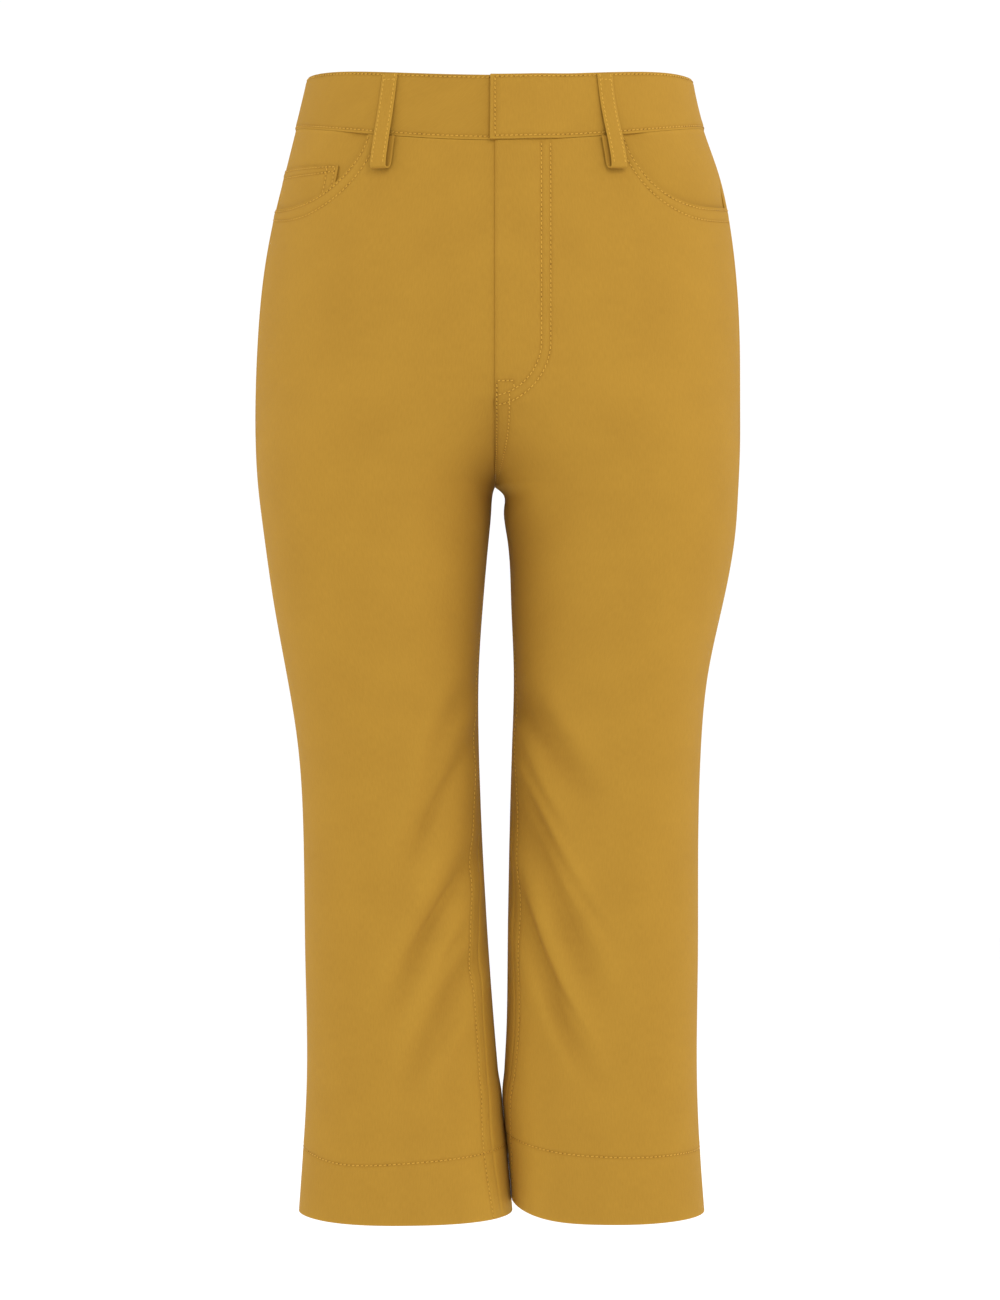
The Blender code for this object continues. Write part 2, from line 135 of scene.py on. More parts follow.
OUTLINE = (
    Level(0, 141.6, 141.6, -98, 98, 3),
    Level(42, 151.8, 151.5, -104, 106, 5),
    Level(75, 160.2, 163.0, -109, 116, 7),
    Level(110, 169.0, 171.0, -113, 125, 9),
    Level(150, 176.3, 176.2, -116, 134, 11),
    Level(200, 180.9, 179.0, -116, 136, 12),
    Level(250, 182.5, 179.2, -110, 128, 11),
    Level(280, 182.0, 178.9, -103.5, 115, 9),
    Level(311, 179.8, 177.4, -101, 107, 7),
    Level(338, 176.4, 175.6, -98.5, 100.5, 5),
    Level(392, 168.6, 166.4, -93, 90, 2),
    Level(446, 158.8, 154.8, -87, 83, 0),
    Level(499, 150.4, 149.6, -80, 79, 0),
    Level(571, 146.2, 147.6, -72, 77, 2),
    Level(660, 145.0, 147.4, -67, 75, 3),
    Level(750, 144.0, 146.8, -65, 74, 4),
    Level(800, 146.6, 148.9, -65, 74, 4),
    Level(848, 150.0, 152.4, -66, 75, 4),
)

INNER = (
    Inner(307.5, 3.9, -3.5),
    Inner(312, 5.3, 1.8),
    Inner(322, 6.3, 3.2),
    Inner(345, 8.2, 5.2),
    Inner(392, 12.4, 8.2),
    Inner(446, 15.8, 10.2),
    Inner(499, 15.8, 9.0),
    Inner(571, 13.2, 7.0),
    Inner(660, 8.0, 5.6),
    Inner(720, 3.4, 4.4),
    Inner(767, -1.0, 2.9),
    Inner(800, -4.6, 6.0),
    Inner(848, -8.6, 10.2),
)

SEAMS = (
    Seams(0, 12, 180, 180),
    Seams(110, 13, 180, 180),
    Seams(200, 10, 180, 180),
    Seams(311, 6, 180, 180),
    Seams(450, 3, 177, 174),
    Seams(571, 2, 163, 161),
    Seams(655, 2, 151, 155),
    Seams(740, 2, 149, 155),
    Seams(790, 2, 146, 163),
    Seams(848, 2, 151, 174),
)

# The main folds: broad troughs that run down and outwards from the inseams.
FOLDS = (
    Crease(Side.LEFT, Face.FRONT, 14, 460, 70, 543, 17, 3.3, 2),
    Crease(Side.LEFT, Face.FRONT, 18, 540, 80, 694, 15, 3.5, 5),
    Crease(Side.LEFT, Face.FRONT, 12, 598, 74, 750, 11, 3.2, 7),
    Crease(Side.RIGHT, Face.FRONT, 17, 484, 74, 604, 14, 2.4, -3),
    Crease(Side.RIGHT, Face.FRONT, 16, 572, 86, 708, 13, 3.2, -4),
    Crease(Side.RIGHT, Face.FRONT, 15, 648, 72, 765, 13, 2.4, -5),
    Crease(Side.LEFT, Face.BACK, 22, 520, 96, 640, 15, 3.0, 8),
    Crease(Side.LEFT, Face.BACK, 24, 600, 104, 750, 14, 2.8, 8),
    Crease(Side.RIGHT, Face.BACK, 24, 500, 92, 616, 14, 2.8, 8),
    Crease(Side.RIGHT, Face.BACK, 22, 580, 104, 735, 15, 3.0, 8),
    Crease(Side.LEFT, Face.BACK, 18, 340, 96, 352, 15, 1.8, 6),
    Crease(Side.RIGHT, Face.BACK, 20, 346, 90, 356, 15, 1.6, 6),
)

# Finer creases between and beside the main folds.
CREASES = (
    Crease(Side.LEFT, Face.FRONT, 14, 470, 50, 522, 6, 0.9, 3),
    Crease(Side.LEFT, Face.FRONT, 15, 500, 52, 568, 5, 1.1, 3),
    Crease(Side.LEFT, Face.FRONT, 18, 530, 84, 642, 5.5, 1.4, 4),
    Crease(Side.LEFT, Face.FRONT, 15, 606, 66, 714, 4.5, 1.5, 5),
    Crease(Side.LEFT, Face.FRONT, 34, 664, 60, 742, 7, 0.8, 3),
    Crease(Side.RIGHT, Face.FRONT, 22, 450, 60, 540, 11, 1.6, -2),
    Crease(Side.RIGHT, Face.FRONT, 27, 508, 66, 586, 5, 1.1, -2),
    Crease(Side.RIGHT, Face.FRONT, 24, 590, 72, 668, 5, 1.3, -3),
    Crease(Side.RIGHT, Face.FRONT, 24, 634, 44, 664, 5, 0.8, -2),
    Crease(Side.RIGHT, Face.FRONT, 24, 692, 48, 730, 6.5, 0.9, -2),
    Crease(Side.LEFT, Face.BACK, 30, 560, 84, 660, 7, 1.0, 5),
    Crease(Side.LEFT, Face.BACK, 20, 470, 70, 540, 8, 1.0, 4),
    Crease(Side.RIGHT, Face.BACK, 28, 545, 82, 640, 7, 1.0, 5),
    Crease(Side.RIGHT, Face.BACK, 26, 650, 80, 742, 8, 0.9, 4),
)

# How far the row that holds each hem rises above a level one, in millimetres. It is given over the cosine of the
# angle round the leg, from -1 at the inseam to 1 at the outside.
HEM_LINES = {
    Side.RIGHT: (
        (-1, 6.8), (-0.78, 4.2), (-0.35, 0.8), (0.04, -1.4), (0.45, -3.0), (0.72, -1.2), (0.95, 3.4), (1, 4.0),
    ),  # fmt: skip
    Side.LEFT: ((-1, 14.5), (-0.83, 11.6), (-0.6, 7.7), (-0.23, 4.7), (0.41, 3.1), (0.78, 3.5), (1, 3.4)),
}

# How far the row beside each inseam lies from it, in millimetres, at drops in millimetres.
INSEAM_ROWS = {
    Side.RIGHT: ((311, 10.0), (400, 15.0), (500, 18.0), (600, 16.0), (700, 10.8), (848, 10.8)),
    Side.LEFT: ((311, 8.5), (450, 11.5), (600, 11.0), (700, 7.6), (848, 6.4)),
}


def smooth_step(value: Numbers, low: float, high: float) -> Array:
    """A soft step.

    Args:
        value: Where to read the step.
        low: Where it starts.
        high: Where it ends.

    Returns:
        0 below low, 1 above high, and a soft rise between.
    """
    t = np.clip((np.asarray(value, float) - low) / (high - low), 0, 1)
    return t * t * (3 - 2 * t)


def bell(distance: Array, width: float) -> Array:
    """A soft bump of height 1 at no distance, which is about width wide on each side."""
    return np.exp(-((distance / width) ** 2))


class Curve:
    """A natural cubic spline, held at its end values beyond its ends."""

    def __init__(self, xs: Iterable[float], ys: Iterable[float]) -> None:
        """Fit the spline.

        Args:
            xs: Rising places.
            ys: The values there.
        """
        self.xs, self.ys = np.array(list(xs), float), np.array(list(ys), float)
        self.step = np.diff(self.xs)
        rise = np.diff(self.ys) / self.step
        count = len(self.xs)
        matrix, wanted = np.eye(count), np.zeros(count)
        for i in range(1, count - 1):
            before, after = self.step[i - 1], self.step[i]
            matrix[i, i - 1 : i + 2] = before, 2 * (before + after), after
            wanted[i] = 6 * (rise[i] - rise[i - 1])
        self.bend = np.linalg.solve(matrix, wanted)

    def __call__(self, at: Numbers) -> Array:
        """The spline's value at each place."""
        at = np.clip(np.asarray(at, float), self.xs[0], self.xs[-1])
        i = np.clip(np.searchsorted(self.xs, at, side="right") - 1, 0, len(self.step) - 1)
        past, left, step = at - self.xs[i], self.xs[i + 1] - at, self.step[i]
        curve = (self.bend[i] * left**3 + self.bend[i + 1] * past**3) / (6 * step)
        start = self.ys[i] / step - self.bend[i] * step / 6
        end = self.ys[i + 1] / step - self.bend[i + 1] * step / 6
        return curve + start * left + end * past


def table_curve(pairs: Iterable[tuple[float, float]], step: float = 1.0) -> Curve:
    """A spline through pairs of a place, in steps, and a value in millimetres."""
    places, values = zip(*pairs)
    return Curve([place * step for place in places], [value * MM for value in values])


def curves(rows: tuple[NamedTuple, ...], unit: float) -> dict[str, Curve]:
    """One spline over the drop for each column of a table.

    Args:
        rows: The table, whose first column is the drop in millimetres.
        unit: What one unit of the other columns is worth.

    Returns:
        The splines by column name.
    """
    drops = [row.drop * MM for row in rows]
    return {name: Curve(drops, [getattr(row, name) * unit for row in rows]) for name in rows[0]._fields[1:]}


def run_along(points: Array) -> Array:
    """How far along a line each of its points lies."""
    return np.concatenate([[0], np.cumsum(np.linalg.norm(np.diff(points, axis=0), axis=1))])


def unit(vectors: Array) -> Array:
    """The same directions, each with length 1."""
    return vectors / np.linalg.norm(vectors, axis=-1, keepdims=True)


@dataclass(frozen=True)
class Skin:
    """The surface on which all the cloth lies: a loop on each side, joined above the crotch and apart below it."""

    zero_z: float = 0.0225
    rise_start: float = 0.222
    crotch: float = 0.3075
    hem: float = 0.848
    centre_x: float = -0.0037
    half_gap: float = 0.00003
    roundness: float = 2.3
    crotch_slope: float = 0.3
    eased_to: float = 0.392
    pull: float = 6.0
    touch: float = 0.00004
    touching: tuple[float, float] = (0.742, 0.764)
    fold_flat: float = 0.6
    fold_start: tuple[float, float] = (-0.12, 0.22)
    fold_end: tuple[float, float] = (0.55, 1.1)
    fold_turn: tuple[float, float] = (0.0, 0.35)
    outline: dict[str, Curve] = field(default_factory=lambda: curves(OUTLINE, MM))
    inner: dict[str, Curve] = field(default_factory=lambda: curves(INNER, MM))

    def ends(self, side: Side, drop: Array) -> tuple[Array, Array]:
        """How far a side's loop reaches.

        Args:
            side: The loop's side.
            drop: Drops below the zero plane.

        Returns:
            Its outer and inner ends, as distances from the centre plane.
        """
        outer = self.outline[side.word](drop) - side.value * self.centre_x
        t = np.clip((drop - self.rise_start) / (self.crotch - self.rise_start), 0, 1)
        closed = (3 - self.crotch_slope) * t**2 + (self.crotch_slope - 2) * t**3
        above = self.half_gap - outer * (1 - closed) / (1 + closed)
        return outer, np.where(drop < self.crotch, above, self.leg_inside(side, drop))

    def leg_inside(self, side: Side, drop: Array) -> Array:
        """How far a leg's inside lies from the centre plane. Near the hems the legs all but touch."""
        apart = sum(self.inner[one.word](drop) for one in Side)
        closing = (apart - self.touch) / 2 * smooth_step(drop, *self.touching)
        return self.inner[side.word](drop) - side.value * self.centre_x - closing

    def eased(self, side: Side, outer: Array, inner: Array, drop: Array) -> Array:
        """The inner end as the rest of the loop follows it, without the quick turn just below the crotch."""
        long = self.eased_to - self.crotch
        t = np.clip((drop - self.crotch) / long, 0, 1)
        ahead = [self.leg_inside(side, np.float64(self.eased_to + way)) for way in (-PROBE, 0, PROBE)]
        slope = outer * self.crotch_slope / 2 / (self.crotch - self.rise_start) * long
        end_slope = (ahead[2] - ahead[0]) / (2 * PROBE) * long
        soft = (
            self.half_gap * (2 * t**3 - 3 * t**2 + 1)
            + slope * (t**3 - 2 * t**2 + t)
            + ahead[1] * (3 * t**2 - 2 * t**3)
            + end_slope * (t**3 - t**2)
        )
        return np.where((drop < self.crotch) | (drop > self.eased_to), inner, soft)

    def angle_at(self, side: Side, drop: Array, distance: Numbers) -> Array:
        """The front angle at which a side's loop is at this distance from the centre plane."""
        outer, inner = self.ends(side, drop)
        across = np.clip((distance - (outer + inner) / 2) / ((outer - inner) / 2), -1, 1)
        along = (1 - np.abs(across) ** self.roundness) ** (1 / self.roundness)
        return np.arctan2(along, across)

    def bare(self, side: Side, angle: Array, drop: Array) -> Array:
        """Points of the skin before any fold."""
        outer, inner = self.ends(side, drop)
        cosine, sine = np.cos(angle), np.sin(angle)
        power = self.roundness
        radius = (np.abs(cosine) ** power + np.abs(sine) ** power) ** (-1 / power)
        base = self.eased(side, outer, inner, drop)
        flat = (outer + base) / 2 + (outer - base) / 2 * radius * cosine
        pulled = (inner - base) * np.clip(1 - (flat - base) / (outer - base), 0, 1) ** self.pull
        widest = self.outline["widest"](drop)
        front, back = widest - self.outline["front"](drop), self.outline["back"](drop) - widest
        x = self.centre_x + side.value * (flat + pulled)
        y = widest - np.where(sine > 0, front, back) * radius * sine
        return np.stack([x, y, np.broadcast_to(self.zero_z - drop, x.shape)], axis=-1)

    def along(self, side: Side, angle: Array, drop: Array, step: float = PROBE) -> Array:
        """The way along the loop, from one step before each angle to one after it."""
        return self.bare(side, angle + step, drop) - self.bare(side, angle - step, drop)

    def outward(self, side: Side, angle: Array, drop: Array) -> Array:
        """Unit normals of the skin, out of the garment."""
        down = self.bare(side, angle, drop + PROBE) - self.bare(side, angle, drop - PROBE)
        return unit(side.value * np.cross(self.along(side, angle, drop), down))

    def speed(self, side: Side, angle: Array, drop: Array) -> Array:
        """Metres round the loop for each radian."""
        step = 2 * PROBE
        return np.linalg.norm(self.along(side, angle, drop, step), axis=-1) / (2 * step)

    def folds(self, side: Side, angle: Array, drop: Array) -> Array:
        """How far the folds and creases move the skin: in at a trough, and a little out beside it."""
        x = np.abs(self.bare(side, angle, drop)[..., 0])
        lift = np.zeros_like(x)
        for fold in (one for one in FOLDS + CREASES if one.side is side):
            start = np.array([fold.start_x, fold.start_drop]) * MM
            ahead = np.array([fold.end_x, fold.end_drop]) * MM - start
            length = float(np.linalg.norm(ahead))
            ahead = ahead / length
            there = np.stack([x, drop], axis=-1) - start
            along = there @ ahead / length
            share = np.clip(along, 0, 1)
            middle = fold.bow * MM * 4 * share * (1 - share)
            across = (there @ np.array([-ahead[1], ahead[0]]) - middle) / (fold.width * MM)
            shape = (across**2 / self.fold_flat - 1) * np.exp(-(across**2))
            fades = smooth_step(along, *self.fold_start) * (1 - smooth_step(along, *self.fold_end))
            turns = smooth_step(fold.face.value * np.sin(angle), *self.fold_turn)
            lift += fold.depth * MM * shape * fades * turns
        return lift

    def point(
        self, side: Side, angle: Array, drop: Array, lift: Numbers = 0.0
    ) -> tuple[Array, Array]:
        """Points of the cloth's outer face.

        Args:
            side: The side of the loop.
            angle: Angles round it.
            drop: Drops below the zero plane.
            lift: How far the cloth stands out from the folded skin.

        Returns:
            The points and the skin's normals there.
        """
        angle, drop = np.broadcast_arrays(np.asarray(angle, float), np.asarray(drop, float))
        normal = self.outward(side, angle, drop)
        moved = np.asarray(lift + self.folds(side, angle, drop))
        return self.bare(side, angle, drop) + normal * moved[..., None], normal


class Pocket(NamedTuple):
    """A front pocket mouth: a rounded curve from the side seam up to the waist seam."""

    angle: float
    depth: float
    across: float
    down: float


@dataclass(frozen=True)
class Pattern:
    """Where the seams and edges run on the skin."""

    skin: Skin
    seams: dict[str, Curve] = field(default_factory=lambda: curves(SEAMS, math.pi / 180))
    top: tuple[float, float, float] = (0.002, 0.0138, 0.005)
    waist: tuple[float, float, float] = (0.0430, 0.0205, 0.003)
    side_dip: dict[Side, float] = field(default_factory=lambda: {Side.RIGHT: 0.0026, Side.LEFT: 0.0038})
    side_dip_width: float = 0.42
    hem_depth: float = 0.046
    hem_side_rise: float = 0.0018
    hem_inseam_rise: dict[Side, float] = field(default_factory=lambda: {Side.RIGHT: 0.001, Side.LEFT: 0.010})
    hem_line: dict[Side, Curve] = field(
        default_factory=lambda: {side: table_curve(HEM_LINES[side]) for side in Side}
    )
    hem_line_reach: float = 0.06
    seam_radius: float = 0.15
    pockets: dict[Side, Pocket] = field(
        default_factory=lambda: {
            Side.RIGHT: Pocket(math.radians(54.3), 0.0595, 3.2, 1.65),
            Side.LEFT: Pocket(math.radians(56.0), 0.0585, 4.0, 1.75),
        }
    )
    fly_end: float = 0.249
    fly_lap: float = 0.014
    fly_lap_fade: tuple[float, float] = (-0.012, 0.003)

    def level(self, angle: Numbers, edge: tuple[float, float, float]) -> Array:
        """The drop of an edge round the waist, lower in front and higher behind than at the side.

        Args:
            angle: Angles round the waist.
            edge: The drop at the side, what the front adds to it, and what the back takes from it.

        Returns:
            The drops.
        """
        side_drop, front_more, back_less = edge
        sine = np.sin(angle)
        return side_drop + np.where(sine > 0, front_more, -back_less) * sine**2

    def band_top(self, side: Side, angle: Array) -> Array:
        """The drop of the waistband's upper edge, which also dips a little at the sides."""
        beside = angle - self.seams["side"].ys[0]
        return self.level(angle, self.top) + self.side_dip[side] * bell(beside, self.side_dip_width)

    @property
    def hem_stitch(self) -> float:
        """How far down the leg the hem is sewn, as a share of its length from the crotch."""
        return 1 - self.hem_depth / (self.skin.hem - self.skin.crotch)

    def hem_rise(self, side: Side, angle: Array, leg: Numbers) -> Array:
        """How far the hem, or a level line above it, rises at the side seam and towards the inseam.

        Args:
            side: The leg's side.
            angle: Angles round it.
            leg: Shares of the leg's length below the crotch.

        Returns:
            The rises. The sewn line has a curve of its own.
        """
        outside, inside = np.clip(np.cos(angle), 0, 1), np.clip(-np.cos(angle), 0, 1)
        edge = self.hem_side_rise * outside**2 + self.hem_inseam_rise[side] * inside**4
        line = self.hem_line[side](np.cos(angle))
        return edge * leg + (line - edge * self.hem_stitch) * bell(leg - self.hem_stitch, self.hem_line_reach)

    def pocket_place(self, side: Side, angle: Array, drop: Array) -> Array:
        """Where a point is in the pocket mouth: 0 at the top of the side seam, 1 on the edge, more beyond."""
        pocket, seam = self.pockets[side], self.seams["side"](drop)
        across = np.clip((angle - seam) / (pocket.angle - seam), 0, None)
        down = np.clip((drop - self.level(angle, self.waist)) / pocket.depth, 0, None)
        return across**pocket.across + down**pocket.down

    def pocket_edge(self, side: Side, across: Array, reach: float = 1.0) -> Array:
        """How far the pocket's edge, or a curve outside it, lies below the waist seam."""
        pocket = self.pockets[side]
        return pocket.depth * np.maximum(reach - across**pocket.across, 0) ** (1 / pocket.down)

    def ends(self, side: Side, face: Face, drop: Array) -> tuple[Array, Array]:
        """The angles between which a panel lies.

        Args:
            side: The panel's side.
            face: Front or back.
            drop: Drops below the zero plane.

        Returns:
            The angles of the side seam and of the centre seam or inseam.
        """
        skin = self.skin
        turn = skin.half_gap / self.seam_radius
        lap = 0.0
        if side is Side.RIGHT and face is Face.FRONT:
            fade = (self.fly_end + way for way in self.fly_lap_fade)
            lap = self.fly_lap * (1 - smooth_step(drop, *fade))
        centre = face.value * skin.angle_at(side, drop, skin.half_gap - lap)
        inseam = self.seams[side.word](drop) - face.value * turn - (0 if face is Face.FRONT else 2 * math.pi)
        first = self.seams["side"](drop) + face.value * turn
        return first, np.where(drop < skin.crotch, centre, inseam)


@dataclass(frozen=True)
class StitchRow:
    """One line of sewing: close points on the cloth, and the cloth's normals there."""

    points: Array
    normals: Array


@dataclass(frozen=True)
class Finish:
    """A procedural material, coloured between a dark and a light tone."""

    name: str
    dark: Colour
    light: Colour

    def material(self) -> bpy.types.Material:
        """The material, made once."""
        made = bpy.data.materials.get(self.name)
        if made is None:
            made = bpy.data.materials.new(self.name)
            made.use_nodes = True
            self.dress(made.node_tree)
        return made

    def dress(self, tree: bpy.types.NodeTree) -> None:
        """Add the finish's nodes to a new material's tree."""
        raise NotImplementedError


class Nodes:
    """A short way to add and join shader nodes."""

    def __init__(self, tree: bpy.types.NodeTree) -> None:
        """Work on this tree."""
        self.tree = tree

    def add(self, kind: str, inputs: dict[str | int, object] | None = None, **settings: object) -> bpy.types.Node:
        """Add a node.

        Args:
            kind: The node's type.
            inputs: Values or sockets for its inputs, by name or number.
            **settings: Properties of the node.

        Returns:
            The node.
        """
        node = self.tree.nodes.new(kind)
        for name, value in settings.items():
            setattr(node, name, value)
        self.fill(node, inputs or {})
        return node

    def fill(self, node: bpy.types.Node, inputs: dict[str | int, object]) -> None:
        """Give a node's inputs their values, or join the given sockets to them."""
        for name, value in inputs.items():
            if isinstance(value, bpy.types.NodeSocket):
                self.tree.links.new(value, node.inputs[name])
            else:
                node.inputs[name].default_value = value

    def math(self, operation: str, first: object, second: object = 0.0) -> bpy.types.NodeSocket:
        """The result of a Math node."""
        return self.add("ShaderNodeMath", {0: first, 1: second}, operation=operation).outputs[0]

    def blend(self, factor: bpy.types.NodeSocket, dark: Colour, light: Colour) -> bpy.types.NodeSocket:
        """A colour between the dark one, where the factor is 0, and the light one, where it is 1."""
        tones = {"Factor": factor, "A": dark, "B": light}
        return self.add("ShaderNodeMix", tones, data_type="RGBA", clamp_factor=True).outputs["Result"]

    def stretch(self, value: bpy.types.NodeSocket, **ends: float) -> bpy.types.NodeSocket:
        """A value taken from one range to another. The ends are from_min, from_max, to_min and to_max."""
        inputs = {name.replace("_", " ").title(): end for name, end in ends.items()}
        return self.add("ShaderNodeMapRange", {"Value": value, **inputs}).outputs[0]


# The ways that the twill's ribs and its crossing yarns run over the cloth.
ACROSS_RIBS = (0.87, 0.5, 0.0)
ACROSS_YARNS = (0.5, -0.87, 0.0)


def twill_weave() -> bpy.types.NodeTree:
    """The shader node group for twill: diagonal ribs crossed by yarns, and soft streaks along the warp."""
    group = bpy.data.node_groups.get("twill_weave")
    if group is not None:
        return group
    group = bpy.data.node_groups.new("twill_weave", "ShaderNodeTree")
    face = group.interface
    face.new_socket("Vector", in_out="INPUT", socket_type="NodeSocketVector")
    for name, value in (("Ribs", 1400.0), ("Streaks", 260.0)):
        face.new_socket(name, in_out="INPUT", socket_type="NodeSocketFloat").default_value = value
    for name in ("Height", "Tone"):
        face.new_socket(name, in_out="OUTPUT", socket_type="NodeSocketFloat")
    nodes = Nodes(group)
    given = nodes.add("NodeGroupInput").outputs
    turn = nodes.math("MULTIPLY", given["Ribs"], 2 * math.pi)
    places = (
        nodes.add("ShaderNodeVectorMath", {0: given["Vector"], 1: way}, operation="DOT_PRODUCT").outputs["Value"]
        for way in (ACROSS_RIBS, ACROSS_YARNS)
    )
    ribs, yarns = (nodes.math("SINE", nodes.math("MULTIPLY", place, turn)) for place in places)
    crossed = nodes.math("ADD", nodes.math("MULTIPLY", yarns, 0.25), 0.75)
    height = nodes.math("MULTIPLY", ribs, crossed)
    stretched = nodes.add("ShaderNodeMapping", {"Vector": given["Vector"], "Scale": (4.0, 0.7, 1.0)}).outputs[0]
    streaks = nodes.add("ShaderNodeTexNoise", {"Vector": stretched, "Scale": given["Streaks"], "Detail": 4.0})
    cloudy = nodes.add("ShaderNodeTexNoise", {"Vector": given["Vector"], "Scale": 22.0, "Detail": 2.0})
    fine, broad = (nodes.math("MULTIPLY", one.outputs[0], part) for one, part in ((streaks, 0.6), (cloudy, 0.4)))
    tone = nodes.math("ADD", fine, broad)
    nodes.add("NodeGroupOutput", {"Height": height, "Tone": tone})
    return group


@dataclass(frozen=True)
class Twill(Finish):
    """Dyed cotton twill, with a faint sheen."""

    roughness: float = 0.8
    roughness_spread: float = 0.06
    specular: float = 0.08
    sheen: float = 0.032
    sheen_roughness: float = 0.45
    sheen_tint: Colour = (1.0, 0.88, 0.5, 1.0)
    ribs: float = 1500.0
    weave_depth: float = 0.00012
    weave_strength: float = 0.5
    # How strongly the painted shade and light change the cloth's colour.
    wear_strength: float = 0.5

    def dress(self, tree: bpy.types.NodeTree) -> None:
        """Add the weave, its colour and its relief."""
        nodes = Nodes(tree)
        place = nodes.add("ShaderNodeUVMap", uv_map="cloth").outputs["UV"]
        weave = nodes.add("ShaderNodeGroup", node_tree=twill_weave())
        nodes.fill(weave, {"Vector": place, "Ribs": self.ribs})
        height, woven = weave.outputs["Height"], weave.outputs["Tone"]
        # The colour is lightened or darkened by the piece's painted shade and light.
        wear = nodes.add("ShaderNodeAttribute", attribute_name="wear").outputs["Fac"]
        streaks = nodes.stretch(woven, from_min=0.3, from_max=0.7, to_min=0.36, to_max=0.64)
        tone = nodes.math("ADD", streaks, nodes.math("MULTIPLY", wear, self.wear_strength))
        low, high = self.roughness - self.roughness_spread, self.roughness + self.roughness_spread
        relief = {"Height": height, "Distance": self.weave_depth, "Strength": self.weave_strength}
        surface = {
            "Base Color": nodes.blend(tone, self.dark, self.light),
            "Roughness": nodes.stretch(woven, to_min=low, to_max=high),
            "Normal": nodes.add("ShaderNodeBump", relief).outputs[0],
            "Specular IOR Level": self.specular,
            "Sheen Weight": self.sheen,
            "Sheen Roughness": self.sheen_roughness,
            "Sheen Tint": self.sheen_tint,
        }
        nodes.fill(tree.nodes["Principled BSDF"], surface)


@dataclass(frozen=True)
class ThreadFinish(Finish):
    """Twisted sewing thread of the cloth's own colour, a little lighter."""

    roughness: float = 0.65
    specular: float = 0.2
    twist: float = 1500.0
    ply_depth: float = 0.0001

    def dress(self, tree: bpy.types.NodeTree) -> None:
        """Add the plies and their colour."""
        nodes = Nodes(tree)
        place = nodes.add("ShaderNodeTexCoord").outputs["Object"]
        plies = nodes.add("ShaderNodeTexNoise", {"Vector": place, "Scale": self.twist, "Detail": 2.0}).outputs[0]
        relief = nodes.add("ShaderNodeBump", {"Height": plies, "Distance": self.ply_depth})
        surface = {
            "Base Color": nodes.blend(plies, self.dark, self.light),
            "Normal": relief.outputs[0],
            "Roughness": self.roughness,
            "Specular IOR Level": self.specular,
        }
        nodes.fill(tree.nodes["Principled BSDF"], surface)


@dataclass(frozen=True)
class Palette:
    """The garment's finishes."""

    face: Twill = Twill("mustard_twill", (0.299, 0.1495, 0.0183, 1.0), (0.486, 0.2700, 0.0362, 1.0))
    reverse: Twill = Twill("mustard_twill_reverse", (0.280, 0.142, 0.020, 1.0), (0.440, 0.245, 0.038, 1.0))
    thread: ThreadFinish = ThreadFinish("mustard_thread", (0.50, 0.27, 0.030, 1.0), (0.66, 0.38, 0.055, 1.0))
    # Painted shade: a dark thread material where the thread dives into its needle holes.
    needle_hole: ThreadFinish = ThreadFinish("needle_hole_shade", (0.12, 0.05, 0.004, 1.0), (0.17, 0.07, 0.007, 1.0))


@dataclass(frozen=True)
class Cut:
    """A piece's flat size before it was sewn: its width, length and area."""

    width: float
    length: float
    area: float


@dataclass(frozen=True)
class Pucker:
    """How a row of stitches gathers the cloth: unevenly along the row, with a trough and a low swell beside it."""

    depth: float = 0.00035
    width: float = 0.0013
    even: float = 0.75
    waves: tuple[tuple[float, float, float], ...] = ((0.25, 0.31, 0.0), (0.2, 0.083, 1.7))
    swell: float = 0.3
    swell_place: float = 2.4
    swell_width: float = 1.6
    reach: float = 6.0

    def gather(self, spot: int, distance: float) -> tuple[float, float]:
        """How far the cloth is pulled in at a distance from a row's numbered point, and how near it is to the row."""
        waves = (size * math.sin(spot * pace + start) for size, pace, start in self.waves)
        tight = sum(waves, start=self.even)
        near = math.exp(-((distance / self.width) ** 2))
        beside = math.exp(-(((distance - self.swell_place * self.width) / (self.swell_width * self.width)) ** 2))
        return self.depth * (near * tight - self.swell * beside * (2 - tight)), near


class Grooves:
    """The shallow troughs that rows of stitches pull into the cloth."""

    def __init__(self, rows: list[StitchRow], pucker: Pucker = Pucker()) -> None:
        """Gather the rows' points.

        Args:
            rows: The rows sewn into the cloth.
            pucker: How each of them gathers it.
        """
        self.pucker = pucker
        spots = [spot for row in rows for spot in row.points]
        self.tree = KDTree(len(spots))
        for i, spot in enumerate(spots):
            self.tree.insert(Vector(spot), i)
        self.tree.balance()
        self.sewn = bool(spots)

    def lowering(self, points: Array) -> tuple[Array, Array]:
        """How far each point is pulled in, with an uneven pucker along the rows, and how near it is to one."""
        low, near_row = np.zeros(len(points)), np.zeros(len(points))
        for i, spot in enumerate(points if self.sewn else ()):
            _, nearest, distance = self.tree.find(Vector(spot))
            if distance < self.pucker.reach * self.pucker.width:
                low[i], near_row[i] = self.pucker.gather(nearest, distance)
        return low, near_row


def add_object(name: str, data: bpy.types.ID) -> bpy.types.Object:
    """A new object in the scene, at the origin."""
    made = bpy.data.objects.new(name, data)
    bpy.context.scene.collection.objects.link(made)
    return made


def to_mesh(name: str, work: bmesh.types.BMesh) -> bpy.types.Mesh:
    """A new mesh of the finished work, which is then put away."""
    mesh = bpy.data.meshes.new(name)
    work.to_mesh(mesh)
    work.free()
    return mesh


def face_outwards(work: bmesh.types.BMesh) -> None:
    """Turn all the faces of a closed form outwards."""
    bmesh.ops.recalc_face_normals(work, faces=work.faces[:])
    if work.calc_volume(signed=True) < 0:
        bmesh.ops.reverse_faces(work, faces=work.faces[:])


